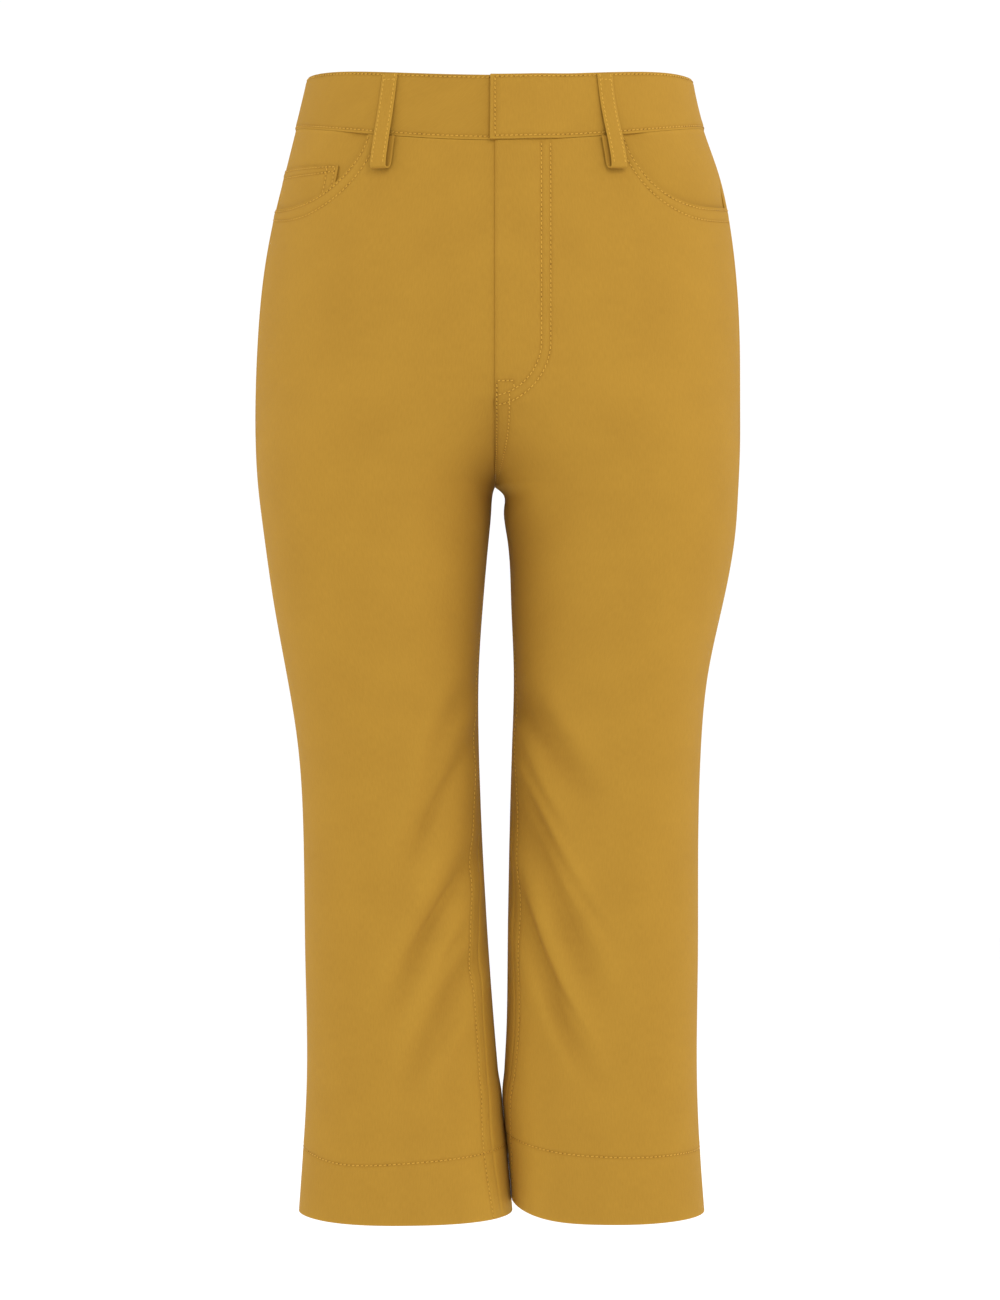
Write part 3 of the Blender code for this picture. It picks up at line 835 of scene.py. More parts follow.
def flat_grid(columns: int, rows: int) -> bmesh.types.BMesh:
    """A square grid, 1 wide, with this many points across and down."""
    grid = bmesh.new()
    bmesh.ops.create_grid(grid, x_segments=columns - 1, y_segments=rows - 1, size=0.5)
    return grid


def grid_places(grid: bmesh.types.BMesh, columns: int, rows: int) -> tuple[Array, Array]:
    """The column and the row of each point of a flat grid."""
    spots = np.array([(vert.co.x + 0.5, 0.5 - vert.co.y) for vert in grid.verts])
    return np.rint(spots[:, 0] * (columns - 1)).astype(int), np.rint(spots[:, 1] * (rows - 1)).astype(int)


@dataclass(frozen=True)
class Weaver:
    """Makes closed cloth shells, with the finish's face outside and its reverse inside."""

    palette: Palette
    edge_round: float = 0.00035
    edge_angle: float = math.radians(50)

    def shell(
        self, name: str, outer: Array, inner: Array, flat: Array, wear: Array, reverse: bool = True
    ) -> bpy.types.Object:
        """A closed shell between two layers of points.

        Args:
            name: The piece's name.
            outer: Rows and columns of points of the outer layer.
            inner: The same of the inner layer.
            flat: Where each point lies on the flat cloth, in metres.
            wear: Painted shade and light at each point, from -1 where it is darkest to 1.
            reverse: Whether the inner layer shows the cloth's reverse.

        Returns:
            The piece.
        """
        rows, columns = outer.shape[:2]
        grid = flat_grid(columns, rows)
        layer = bmesh.ops.extrude_face_region(grid, geom=grid.faces[:], use_keep_orig=True)
        inside = {item for item in layer["geom"] if isinstance(item, bmesh.types.BMVert)}
        deep = np.array([vert in inside for vert in grid.verts])
        u, v = grid_places(grid, columns, rows)
        places = np.where(deep[:, None], inner[v, u], outer[v, u])
        for vert, place in zip(grid.verts, places):
            vert.co = place
        for patch in grid.faces:
            patch.smooth = True
            patch.material_index = int(reverse and all(vert in inside for vert in patch.verts))
        face_outwards(grid)
        mesh = to_mesh(name, grid)
        corners = np.zeros(len(mesh.loops), int)
        mesh.loops.foreach_get("vertex_index", corners)
        mesh.uv_layers.new(name="cloth").data.foreach_set("uv", flat[v, u][corners].astype(np.float32).ravel())
        mesh.attributes.new("wear", "FLOAT", "POINT").data.foreach_set("value", wear[v, u].astype(np.float32))
        for finish in (self.palette.face, self.palette.reverse):
            mesh.materials.append(finish.material())
        piece = add_object(name, mesh)
        rounded = piece.modifiers.new("rounded_edges", "BEVEL")
        rounded.width, rounded.segments, rounded.profile = self.edge_round, 2, 0.5
        rounded.limit_method, rounded.angle_limit = "ANGLE", self.edge_angle
        return piece


@dataclass(frozen=True)
class Thread:
    """The sewing: rows of thread that rise out of the cloth for each stitch and dive back at its needle holes, where
    a dark material is painted shade.
    """

    palette: Palette
    pitch: float = 0.0034
    radius: float = 0.00036
    slant: float = 0.00028
    sink: float = 0.0003
    dive: float = 0.0006
    sides: int = 6
    rings: tuple[float, ...] = (0.04, 0.18, 0.32, 0.5, 0.68, 0.82, 0.96)
    # The share of each stitch, at its needle holes, that takes the dark painted-shade material.
    shaded: float = 0.24
    joined_from: float = 0.9
    stand: float = 0.45
    taper: float = 0.55
    look: float = 0.3

    def sew(self, name: str, rows: list[StitchRow]) -> bpy.types.Object:
        """All the stitches of one piece.

        Args:
            name: The name of the sewing.
            rows: The rows to sew.

        Returns:
            The sewing, as one piece.
        """
        work = bmesh.new()
        for row in rows:
            self.add_row(work, row)
        mesh = to_mesh(name, work)
        for finish in (self.palette.thread, self.palette.needle_hole):
            mesh.materials.append(finish.material())
        return add_object(name, mesh)

    def add_row(self, work: bmesh.types.BMesh, row: StitchRow) -> None:
        """Add one row of stitches as a closed thread.

        Args:
            work: The sewing so far.
            row: Where the row runs.
        """
        run, look = run_along(row.points), self.look * self.pitch
        count = max(1, round(run[-1] / self.pitch))
        share = np.tile(self.rings, count)
        at = (np.repeat(np.arange(count), len(self.rings)) + share) * run[-1] / count
        centre, normal, before, after = (
            np.stack([np.interp(spot, run, line[:, axis]) for axis in range(3)], axis=-1)
            for spot, line in (
                (at, row.points),
                (at, row.normals),
                (at - look, row.points),
                (at + look, row.points),
            )
        )
        across = unit(np.cross(normal, after - before))
        ends = np.abs(2 * share - 1)
        high = self.radius * self.stand - self.sink - self.dive * ends**6
        thick = self.radius * (1 - self.taper * ends**4)
        centre += normal * high[:, None] + across * (self.slant * (2 * share - 1))[:, None]
        grid = flat_grid(self.sides + 1, len(at))
        u, v = grid_places(grid, self.sides + 1, len(at))
        turn = 2 * math.pi * (u % self.sides) / self.sides
        ring = across[v] * np.cos(turn)[:, None] + normal[v] * np.sin(turn)[:, None]
        for vert, place in zip(grid.verts, centre[v] + ring * thick[v][:, None]):
            vert.co = place
        grid.verts.index_update()
        for patch in grid.faces:
            patch.smooth = True
            low = min(v[vert.index] for vert in patch.verts)
            middle = (share[low] + share[min(low + 1, len(at) - 1)]) / 2
            # Faces at each needle hole take the dark material, painted shade.
            patch.material_index = int(share[low] > self.joined_from or min(middle, 1 - middle) < self.shaded / 2)
        bmesh.ops.remove_doubles(grid, verts=grid.verts[:], dist=1e-7)
        bmesh.ops.holes_fill(grid, edges=[edge for edge in grid.edges if edge.is_boundary], sides=0)
        face_outwards(grid)
        part = to_mesh("row", grid)
        work.from_mesh(part)
        bpy.data.meshes.remove(part)


@dataclass(frozen=True)
class Workshop:
    """What every piece is made with."""

    pattern: Pattern
    weaver: Weaver
    thread: Thread

    def keep(
        self, cloth: bpy.types.Object, node: str, cut: Cut, rests_on: tuple[str, ...], rows: list[StitchRow]
    ) -> None:
        """Put a piece of cloth in place of its CAD node, with its sewing, and log its faces and rows.

        Args:
            cloth: The piece.
            node: The CAD node that it stands for.
            cut: Its flat size. Not used.
            rests_on: The nodes that it is sewn to. Not used.
            rows: Its rows of stitches.
        """
        parts = []
        if rows:
            parts.append(self.thread.sew(f"{node}_stitching", rows))
        for piece in (cloth, *parts):
            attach(piece, "root")
        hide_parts(node)
        LOG.info("%s: %d faces, %d stitch rows", cloth.name, len(cloth.data.polygons), len(rows))


def laid_flat(points: Array) -> Array:
    """Where a grid's points lie on the flat cloth: metres along each row from its start, and down."""
    across = np.linalg.norm(np.diff(points[..., :2], axis=1), axis=2)
    along = np.concatenate([np.zeros((len(points), 1)), np.cumsum(across, axis=1)], axis=1)
    down = np.broadcast_to(-points[:, :, 2], along.shape)
    return np.stack([along, down], axis=-1)


def grid_lines(start: Array, middle: Array, end: Array) -> Array:
    """Lines across one way of a grid: close ones at its start, spread ones, and close ones from a fixed place on.

    Args:
        start: Distances from the start.
        middle: Shares of what lies between the start's last line and the fixed place.
        end: Distances from the fixed place.

    Returns:
        For each line, its distance from the start, its share of the middle, and its distance from the fixed place.
    """
    past = start[-1]
    parts = (start, 0 * start, 0 * start), (0 * middle + past, middle, 0 * middle), (0 * end + past, 0 * end + 1, end)
    return np.concatenate([np.stack(part, axis=1) for part in parts])


@dataclass
class Piece:
    """A piece of cloth that stands for one CAD node."""

    shop: Workshop
    node: str
    cut: Cut

    @property
    def pattern(self) -> Pattern:
        """Where the seams and edges run."""
        return self.shop.pattern

    @property
    def skin(self) -> Skin:
        """The surface on which the cloth lies."""
        return self.shop.pattern.skin

    @property
    def rests_on(self) -> tuple[str, ...]:
        """The nodes that the piece is sewn to."""
        return ("waistband",)

    def stitch_rows(self) -> list[StitchRow]:
        """The rows sewn into the piece."""
        return []

    def sew_up(self, points: Array, normals: Array, wall: Numbers, wear: Array, sewn_shade: float = 0.5) -> None:
        """Make the cloth, with a groove along each row of stitches, and its sewing.

        Args:
            points: Rows and columns of points on its outer face.
            normals: The skin's normals there.
            wall: How thick the cloth is.
            wear: The painted shade and light at each point.
            sewn_shade: How much painted shade darkens it along the rows.
        """
        rows = self.stitch_rows()
        low, sewn = (part.reshape(points.shape[:2]) for part in Grooves(rows).lowering(points.reshape(-1, 3)))
        cloth = self.shop.weaver.shell(
            f"{self.node}_cloth",
            points - normals * low[..., None],
            points - normals * np.asarray(wall)[..., None],
            laid_flat(points),
            wear - sewn_shade * sewn,
        )
        self.shop.keep(cloth, self.node, self.cut, self.rests_on, rows)


@dataclass
class Panel(Piece):
    """A leg-wide panel. Its grid lines lie closer together at its seams, its sewn rows and its hem."""

    side: Side
    face: Face = Face.FRONT
    wall: float = 0.0012
    hem_wall: float = 0.0022
    layer_gap: float = 0.0003
    roll_depth: float = 0.0008
    roll_width: float = 0.0016
    # Painted shade in the fold troughs, with painted light on the ridges beside them.
    trough_shade: float = 0.42
    trough_depth: float = 0.003
    # Painted shade along the sewn rows, where the grooves hold shade.
    sewn_shade: float = 0.4
    # Painted highlights along the top and hem edges of the panel.
    rim_pale: float = 0.35
    rim_widths: tuple[float, float] = (0.0012, 0.0009)
    # Painted shade on the rolled seams above the crotch, and painted highlights on them down the legs.
    roll_dark: float = 0.25
    roll_pale: float = 0.85
    roll_change: tuple[float, float] = (0.0, 0.03)
    # Painted light inside the lower legs, against the shade that the legs cast on each other.
    rubbed: float = 0.8
    rubbed_round: tuple[float, float] = (0.45, 0.85)
    rubbed_down: tuple[float, float] = (0.45, 0.8)
    near_side: tuple[float, ...] = (0, 0.5, 1.0, 1.7, 2.6, 4, 6, 8)
    near_last: tuple[float, ...] = (0, 0.5, 1.0, 1.7, 2.6, 4, 5.3, 6.3, 7.3, 8.6, 11)
    near_top: tuple[float, ...] = (0, 0.5, 1.0, 1.5, 2.0, 2.7, 3.6, 4.8, 6, 7, 8, 9, 10, 11, 12, 13, 14.2, 16)
    under_crotch: tuple[float, ...] = (0.8, 1.8, 3, 4.5, 6.5, 9)
    near_hem: tuple[float, ...] = (-3, -1.6, -0.8, 0, 0.8, 1.6, 3)
    near_edge: tuple[float, ...] = (2.4, 1.2, 0.5, 0)
    rise_rows: int = 92
    fly_density: float = 0.0
    fly_foot: float = 0.58
    fly_foot_reach: float = 0.13
    leg_rows: int = 160
    hem_rows: int = 13
    middle_columns: int = 60
    samples: int = 400
    seam_pace: float = 0.7 * MM
    hem_points: int = 420
    settling: int = 5
    crotch_bend: float = 1.5
    crotch_clear: float = 0.002
    hem_step: float = 0.002

    def ends(self, drop: Array) -> tuple[Array, Array]:
        """The panel's first and last angles at each drop."""
        return self.pattern.ends(self.side, self.face, drop)

    def edge(self, angle: Array, across: Array) -> Array:
        """The drop of the panel's top for an angle and a share across the panel."""
        pattern = self.pattern
        return pattern.level(angle, pattern.waist) + self.layer_gap

    def lift(self, angle: Array, drop: Array) -> Numbers:
        """How far the panel stands out from the skin."""
        return 0.0

    def shares(self) -> Array:
        """Where the columns between the two seams' own ones lie, from 0 to 1."""
        return np.linspace(0, 1, self.middle_columns + 1)

    def columns(self) -> Array:
        """Each column as a distance from the first end, a share of the middle, and a distance regained."""
        start, last = np.array(self.near_side) * MM, np.array(self.near_last) * MM
        return grid_lines(start, self.shares()[1:-1], last[-1] - last[::-1])

    def rows(self) -> Array:
        """Each row as a distance below the top, a share of the rise, and a drop below the crotch."""
        skin, pattern = self.skin, self.pattern
        top = np.array(self.near_top) * MM
        even = np.linspace(0, 1, self.samples)
        density = 1 + self.fly_density * bell(even - self.fly_foot, self.fly_foot_reach)
        run = np.concatenate([[0], np.cumsum((density[1:] + density[:-1]) / 2)])
        rise = np.interp(np.linspace(0, 1, self.rise_rows + 1)[1:], run / run[-1], even)
        stitch = skin.hem - pattern.hem_depth - skin.crotch
        under, hem = np.array(self.under_crotch) * MM, np.array(self.near_hem) * MM + stitch
        edge = skin.hem - skin.crotch - np.array(self.near_edge) * MM
        leg = np.linspace(under[-1], hem[0], self.leg_rows + 1)[1:-1]
        turned = np.linspace(hem[-1], edge[0], self.hem_rows + 1)[1:-1]
        return grid_lines(top, rise, np.concatenate([under, leg, hem, turned, edge]))

    def angles(self, drop: Array, column: Array) -> tuple[Array, Array]:
        """Angles of columns at drops.

        Args:
            drop: The drops.
            column: What columns() gives, for each drop.

        Returns:
            The angles, and the distance to the nearer seam.
        """
        skin, sign = self.skin, self.face.value
        first, last = self.ends(drop)
        quick_first, quick_last = (sign / skin.speed(self.side, angle, drop) for angle in (first, last))
        gap = self.near_side[-1] * MM, self.near_last[-1] * MM
        middle = (last - gap[1] * quick_last) - (first + gap[0] * quick_first)
        start, share, regained = column[..., 0], column[..., 1], column[..., 2]
        angle = first + start * quick_first + share * middle + regained * quick_last
        seam = np.minimum((angle - first) / quick_first, (last - angle) / quick_last)
        return angle, np.abs(seam)

    def layout(self) -> tuple[Array, Array, Array, Array]:
        """The grid on the skin: angles, drops, distances to the nearer seam, and shares of the leg."""
        skin = self.skin
        rows, columns = self.rows()[:, None, :], self.columns()[None, :, :]
        rows, columns = np.broadcast_arrays(rows, columns)
        top = np.full(rows.shape[:2], self.pattern.waist[0])
        for _ in range(self.settling):
            angle, _seam = self.angles(top, columns)
            first, last = self.ends(top)
            top = self.edge(angle, (angle - first) / (last - first))
        across = (angle - first) / (last - first)
        steps = self.crotch_steps(rows[:, 0, 1])[:, None]
        share = rows[..., 1] + (steps - rows[..., 1]) * np.clip(across, 0, 1) ** self.crotch_bend
        drop = top + rows[..., 0] + (skin.crotch - top - rows[..., 0]) * share + rows[..., 2]
        angle, seam = self.angles(drop, columns)
        leg = rows[..., 2] / (skin.hem - skin.crotch)
        return angle, drop - self.pattern.hem_rise(self.side, angle, leg), seam, leg

    def crotch_steps(self, steps: Array) -> Array:
        """Shares of the way down to the crotch at which points lie evenly along the centre seam."""
        skin, pattern = self.skin, self.pattern
        top = pattern.level(self.face.value * QUARTER, pattern.waist)
        drops = top + (skin.crotch - top) * np.linspace(0, 1, self.samples)
        angle = self.face.value * skin.angle_at(self.side, drops, skin.half_gap)
        run = run_along(skin.bare(self.side, angle, drops))
        return np.interp(steps, run / run[-1], (drops - top) / (skin.crotch - top))

    def on_cloth(self, angle: Array, drop: Array) -> tuple[Array, Array]:
        """Points on the panel's outer face, and normals there."""
        return self.skin.point(self.side, angle, drop, self.lift(angle, drop))

    def from_last(self, distance: Numbers, drop: Array) -> Array:
        """The angles at a distance from the centre seam or inseam."""
        _, last = self.ends(drop)
        return last - self.face.value * distance / self.skin.speed(self.side, last, drop)

    def seam_row(self, distance: float | Curve, start: float, end: float) -> StitchRow:
        """A row beside the centre seam or inseam.

        Args:
            distance: How far it lies from the seam, or that distance over the drop.
            start: The drop at which it starts.
            end: The drop at which it ends, before the hem's rise.

        Returns:
            The row.
        """
        skin, pattern = self.skin, self.pattern
        drop = np.linspace(start, end, max(8, int((end - start) / self.seam_pace)))
        away = distance(drop) if isinstance(distance, Curve) else distance
        leg = np.clip((drop - skin.crotch) / (skin.hem - skin.crotch), 0, 1)
        drop = drop - pattern.hem_rise(self.side, self.from_last(away, drop), leg) * (leg > 0)
        return StitchRow(*self.on_cloth(self.from_last(away, drop), drop))

    def hem_row(self) -> StitchRow:
        """The row that holds the turned-up hem."""
        skin, pattern = self.skin, self.pattern
        base = skin.hem - pattern.hem_depth
        first, last = self.ends(np.array([base]))
        angle = np.linspace(first[0], last[0], self.hem_points)[2:-2]
        return StitchRow(*self.on_cloth(angle, base - pattern.hem_rise(self.side, angle, pattern.hem_stitch)))

    def stitch_rows(self) -> list[StitchRow]:
        """The row that holds the hem."""
        return [self.hem_row()]

    def pale(self, angle: Array, drop: Array, seam: Array, leg: Array) -> Array:
        """Painted light on the inner sides of the lower legs, where the legs shade each other."""
        return self.rubbed * smooth_step(-np.cos(angle), *self.rubbed_round) * smooth_step(leg, *self.rubbed_down)

    def make(self) -> None:
        """Build the panel and its sewing."""
        skin, stitch = self.skin, self.pattern.hem_stitch
        angle, drop, seam, leg = self.layout()
        points, normals = self.on_cloth(angle, drop)
        rolled = bell(seam, self.roll_width)
        inward, last_half = normals.copy(), slice(drop.shape[1] // 2, None)
        inward[:, last_half, 0] *= drop[:, last_half] >= skin.crotch
        on_leg = smooth_step(leg, *self.roll_change)
        points = points - inward * (self.roll_depth * rolled * (1 - 0.5 * on_leg))[..., None]
        turned_up = smooth_step(leg, stitch - self.hem_step, stitch)
        # Painted shade in the fold troughs and painted light on their ridges.
        troughs = np.clip(skin.folds(self.side, angle, drop) / self.trough_depth, -1, 1)
        # Painted highlights along the top and hem edges.
        rim = sum(bell(away, width) for away, width in zip((drop[-1:] - drop, drop - drop[:1]), self.rim_widths))
        # The rolled seams get painted shade above the crotch and painted highlights down the legs.
        wear = self.trough_shade * troughs + self.rim_pale * rim + (self.roll_pale * on_leg - self.roll_dark) * rolled
        # Painted light inside the lower legs and, on the fronts, the painted crotch patches.
        wear = wear + self.pale(angle, drop, seam, leg)
        self.sew_up(points, normals, self.wall + (self.hem_wall - self.wall) * turned_up, wear, self.sewn_shade)


class Patch(NamedTuple):
    """A soft painted patch by the crotch, of shade where it darkens and of light where it lightens: how strong it is,
    how far below the crotch its middle lies, and how tall it is.
    """

    strength: float
    below: float
    tall: float


@dataclass
class Front(Panel):
    """A front panel. Its top follows the pocket's edge, and the left one carries the fly."""

    gape: float = 0.0015
    gape_reach: float = 0.014
    gape_sewn: float = 0.030
    fly_lift: float = 0.0017
    near_last: tuple[float, ...] = (
        0, 0.5, 1.0, 1.5, 2, 2.7, 3.6, 4.6, 5.5, 6.2, 6.9, 7.7, 8.6, 9.6, 10.8, 12.2, 13.6, 15, 16.5, 18, 19.5, 21,
        22.5, 24, 25.5, 27, 28.5, 30, 31.4, 32.6, 33.5, 34.4, 35.6, 37, 38.4, 39.6, 40.5, 41.4, 42.6, 44.5,
    )  # fmt: skip
    pocket_columns: int = 36
    front_columns: int = 34
    fly_start: float = 0.0022
    fly_curves: tuple[tuple[float, float, float], ...] = ((0.0333, 0.2083, 0.2459), (0.0400, 0.2083, 0.2528))
    crotch_rows: tuple[tuple[float, float], ...] = ((0.0015, 0.2380), (0.0106, 0.2445))
    box_rows: tuple[tuple[tuple[float, float], ...], ...] = (
        ((0.0015, 0.0137), (0.2363, 0.2363)),
        ((0.0137, 0.0137), (0.2379, 0.2414)),
    )
    fly_fade: tuple[float, float] = (0.018, 0.045)
    fly_end_fade: tuple[float, float] = (-0.002, 0.012)
    # dark is painted shade beside the seam above the crotch; light is painted light below the crotch on the left
    # front.
    dark: Patch = Patch(0.45, -0.045, 0.022)
    dark_beside: float = 0.014
    light: Patch = Patch(0.7, 0.006, 0.016)
    light_round: tuple[float, float] = (0.4, 0.8)
    edge_gaps: tuple[float, float, float] = (0.0016, 0.0016, 0.0016)
    gap_places: tuple[float, float, float] = (0, 0.6, 1)
    pocket_row_top: float = 0.0012
    inseam_start: float = 0.004
    inseam_end: float = 0.001
    fly_top: float = 0.0015
    fly_bend: float = 1.2
    row_settling: int = 8
    pocket_gaps: dict[Side, tuple[float, float, float]] = field(
        default_factory=lambda: {Side.RIGHT: (0.0075, 0.0105, 0.0088), Side.LEFT: (0.0100, 0.0096, 0.0060)}
    )

    def waist_ends(self) -> tuple[Array, Array, Array]:
        """The drop of the waist seam in front, and the panel's first and last angles there."""
        drop = np.array([self.pattern.waist[0] + self.pattern.waist[1]])
        return drop, *self.ends(drop)

    def corner(self) -> float:
        """How far across the panel its pocket reaches, at the waist seam."""
        _, first, last = self.waist_ends()
        return float((self.pattern.pockets[self.side].angle - first[0]) / (last[0] - first[0]))

    def shares(self) -> Array:
        """Closer columns where the pocket's edge is steep."""
        drop, first, last = self.waist_ends()
        begin = first[0] + self.near_side[-1] * MM / self.skin.speed(self.side, first, drop)[0]
        stop = last[0] - self.near_last[-1] * MM / self.skin.speed(self.side, last, drop)[0]
        corner = (self.pattern.pockets[self.side].angle - begin) / (stop - begin)
        steep = corner * np.sin(np.linspace(0, QUARTER, self.pocket_columns + 1))
        return np.concatenate([steep, np.linspace(corner, 1, self.front_columns + 1)[1:]])

    def edge(self, angle: Array, across: Array) -> Array:
        """The waist seam, and the pocket's edge below it."""
        pattern = self.pattern
        pocket = pattern.pocket_edge(self.side, np.clip(across / self.corner(), 0, 1))
        return pattern.level(angle, pattern.waist) + self.layer_gap + pocket

    def lift(self, angle: Array, drop: Array) -> Array:
        """The front stands out at its pocket's edge, and the left one also over the fly."""
        pattern = self.pattern
        place = pattern.pocket_place(self.side, angle, drop)
        from_edge = (np.sqrt(np.maximum(place, 1)) - 1) * pattern.pockets[self.side].depth
        sewn_down = smooth_step(drop - pattern.level(angle, pattern.waist), 0.0, self.gape_sewn)
        lift = self.gape * bell(from_edge, self.gape_reach) * sewn_down
        if self.side is Side.LEFT:
            distance = np.abs(pattern.skin.bare(self.side, angle, drop)[..., 0] - pattern.skin.centre_x)
            near_fly = 1 - smooth_step(distance, *self.fly_fade)
            above_end = 1 - smooth_step(drop - pattern.fly_end, *self.fly_end_fade)
            lift = lift + self.fly_lift * near_fly * above_end
        return lift

    def pale(self, angle: Array, drop: Array, seam: Array, leg: Array) -> Array:
        """The front also gets painted shade beside its seam above the crotch, and the left one painted light below
        the crotch.
        """
        below = drop - self.skin.crotch
        beside = bell(seam, self.dark_beside)
        dark = self.dark.strength * beside * bell(below - self.dark.below, self.dark.tall)
        pale = super().pale(angle, drop, seam, leg) - dark
        if self.side is Side.LEFT:
            inner = smooth_step(-np.cos(angle), *self.light_round)
            pale = pale + self.light.strength * inner * bell(below - self.light.below, self.light.tall)
        return pale

    def pocket_row(self, gaps: tuple[float, float, float]) -> StitchRow:
        """A row along the pocket's edge.

        Args:
            gaps: How far it lies from the edge at the side seam, midway and at the waist seam.

        Returns:
            The row.
        """
        skin, pattern = self.skin, self.pattern
        share = np.concatenate([np.linspace(0, 0.9, 120), 1 - np.geomspace(0.1, 0.0004, 90)])
        drop = np.full_like(share, pattern.waist[0])
        for _ in range(self.row_settling):
            first, last = self.ends(drop)
            angle = first + share * self.corner() * (last - first)
            drop = self.edge(angle, share * self.corner())
        away = np.interp(share, self.gap_places, gaps)
        edge, normal = skin.point(self.side, angle, drop)
        along = np.gradient(edge, axis=0)
        aside = np.cross(along, normal)
        aside *= np.sign(aside[0, 2]) * -1 / np.linalg.norm(aside, axis=1, keepdims=True)
        speed = skin.speed(self.side, angle, drop)
        level = np.cross(normal, np.array([0.0, 0.0, 1.0]))
        step = away * (level * aside).sum(axis=1)
        ahead = skin.bare(self.side, angle + 0.01, drop) - skin.bare(self.side, angle, drop)
        turn = np.sign((level * ahead).sum(axis=1))
        angle, drop = angle + turn * step / speed, drop - away * aside[:, 2]
        low = drop > pattern.level(angle, pattern.waist) + self.pocket_row_top
        return StitchRow(*self.on_cloth(angle[low], drop[low]))

    def fly_row(self, distance: Iterable[float], drop: Iterable[float], count: int = 260) -> StitchRow:
        """A row through points given by their distances from the centre plane and their drops."""
        distance, drop = np.array(list(distance)), np.array(list(drop))
        share = np.linspace(0, 1, count)
        run = np.concatenate([[0], np.cumsum(np.hypot(np.diff(distance), np.diff(drop)))])
        distance, drop = (np.interp(share * run[-1], run, line) for line in (distance, drop))
        return StitchRow(*self.on_cloth(self.skin.angle_at(self.side, drop, distance), drop))

    def fly_curve(self, straight: float, turn: float, end: float) -> StitchRow:
        """A row of the fly's curve.

        Args:
            straight: Its distance from the centre plane while it runs straight down.
            turn: The drop at which it starts to turn in.
            end: The drop at which it meets the fly's edge.

        Returns:
            The row.
        """
        top = self.pattern.level(QUARTER, self.pattern.waist) + self.fly_top
        swing = np.linspace(0, QUARTER, 60)
        across = self.fly_start + (straight - self.fly_start) * np.cos(swing) ** self.fly_bend
        return self.fly_row([straight, *across], [float(top), *(turn + (end - turn) * np.sin(swing))])

    def stitch_rows(self) -> list[StitchRow]:
        """The hem, the inseam, the pocket's two rows and, on the left, the fly and the crotch."""
        skin = self.skin
        beside = table_curve(INSEAM_ROWS[self.side], MM)
        rows = [self.hem_row(), self.seam_row(beside, skin.crotch + self.inseam_start, skin.hem - self.inseam_end)]
        rows += [self.pocket_row(gaps) for gaps in (self.edge_gaps, self.pocket_gaps[self.side])]
        if self.side is Side.LEFT:
            rows += [self.fly_curve(*curve) for curve in self.fly_curves]
            rows += [self.seam_row(away, start, skin.crotch - self.crotch_clear) for away, start in self.crotch_rows]
            rows += [self.fly_row(*line) for line in self.box_rows]
        return rows


@dataclass
class Back(Panel):
    """A back panel, from the side seam round to the seat seam and the inseam."""

    face: Face = Face.BACK
    seat_rows: tuple[float, float] = (0.0014, 0.0072)
    seat_top: float = 0.001

    def stitch_rows(self) -> list[StitchRow]:
        """The hem and, on the left, the two rows beside the seat seam."""
        pattern = self.pattern
        rows = [self.hem_row()]
        if self.side is Side.LEFT:
            top = float(pattern.level(-QUARTER, pattern.waist)) + self.seat_top
            rows += [self.seam_row(away, top, pattern.skin.crotch - self.crotch_clear) for away in self.seat_rows]
        return rows


@dataclass
class PocketPatch(Piece):
    """A piece in a pocket mouth, laid on the pocket's own curve."""

    side: Side
    reach: float
    wall: float = 0.0010
    recess: float = 0.0018
    sinking: tuple[float, float] = (0.3, 0.9)
    layer_gap: float = 0.0003
    seam_gap: float = 0.0001
    under: float = 1.22
    least: float = 0.006
    grid: tuple[int, int] = (60, 44)
    # Painted light along the top of the facing, under the band's edge.
    top_pale: float = 0.3
    top_share: float = 0.03

    @property
    def rests_on(self) -> tuple[str, ...]:
        """The front panel that the patch lies under."""
        return (f"front_{self.side.word}",)

    def edges(self, angle: Array, reach: Array) -> tuple[Array, Array, float]:
        """The patch's top and bottom drops and its lift, for an angle and a share of the pocket's width."""
        pattern = self.pattern
        seam = pattern.level(angle, pattern.waist) + self.seam_gap
        return seam, seam + np.maximum(pattern.pocket_edge(self.side, reach, self.under), self.least), 0.0

    def place(self, across: Array, row: Array) -> tuple[Array, Array]:
        """Points of the patch and normals there, from shares across and down."""
        pattern = self.pattern
        pocket, reach = pattern.pockets[self.side], across * self.reach
        first, _ = pattern.ends(self.side, Face.FRONT, np.full_like(across, pattern.waist[0]))
        top, low, lift = self.edges(first + reach * (pocket.angle - first), reach)
        drop = top + row * (low - top)
        first, _ = pattern.ends(self.side, Face.FRONT, drop)
        angle = first + reach * (pocket.angle - first)
        sunk = -self.recess * smooth_step(pattern.pocket_place(self.side, angle, drop), *self.sinking)
        return pattern.skin.point(self.side, angle, drop, sunk + lift)

    def make(self) -> None:
        """Build the patch and its sewing."""
        across, down = np.meshgrid(*(np.linspace(0, 1, count + 1) for count in self.grid))
        # The facing is lighter along its top: painted light.
        self.sew_up(*self.place(across, down), self.wall, self.top_pale * bell(down, self.top_share))


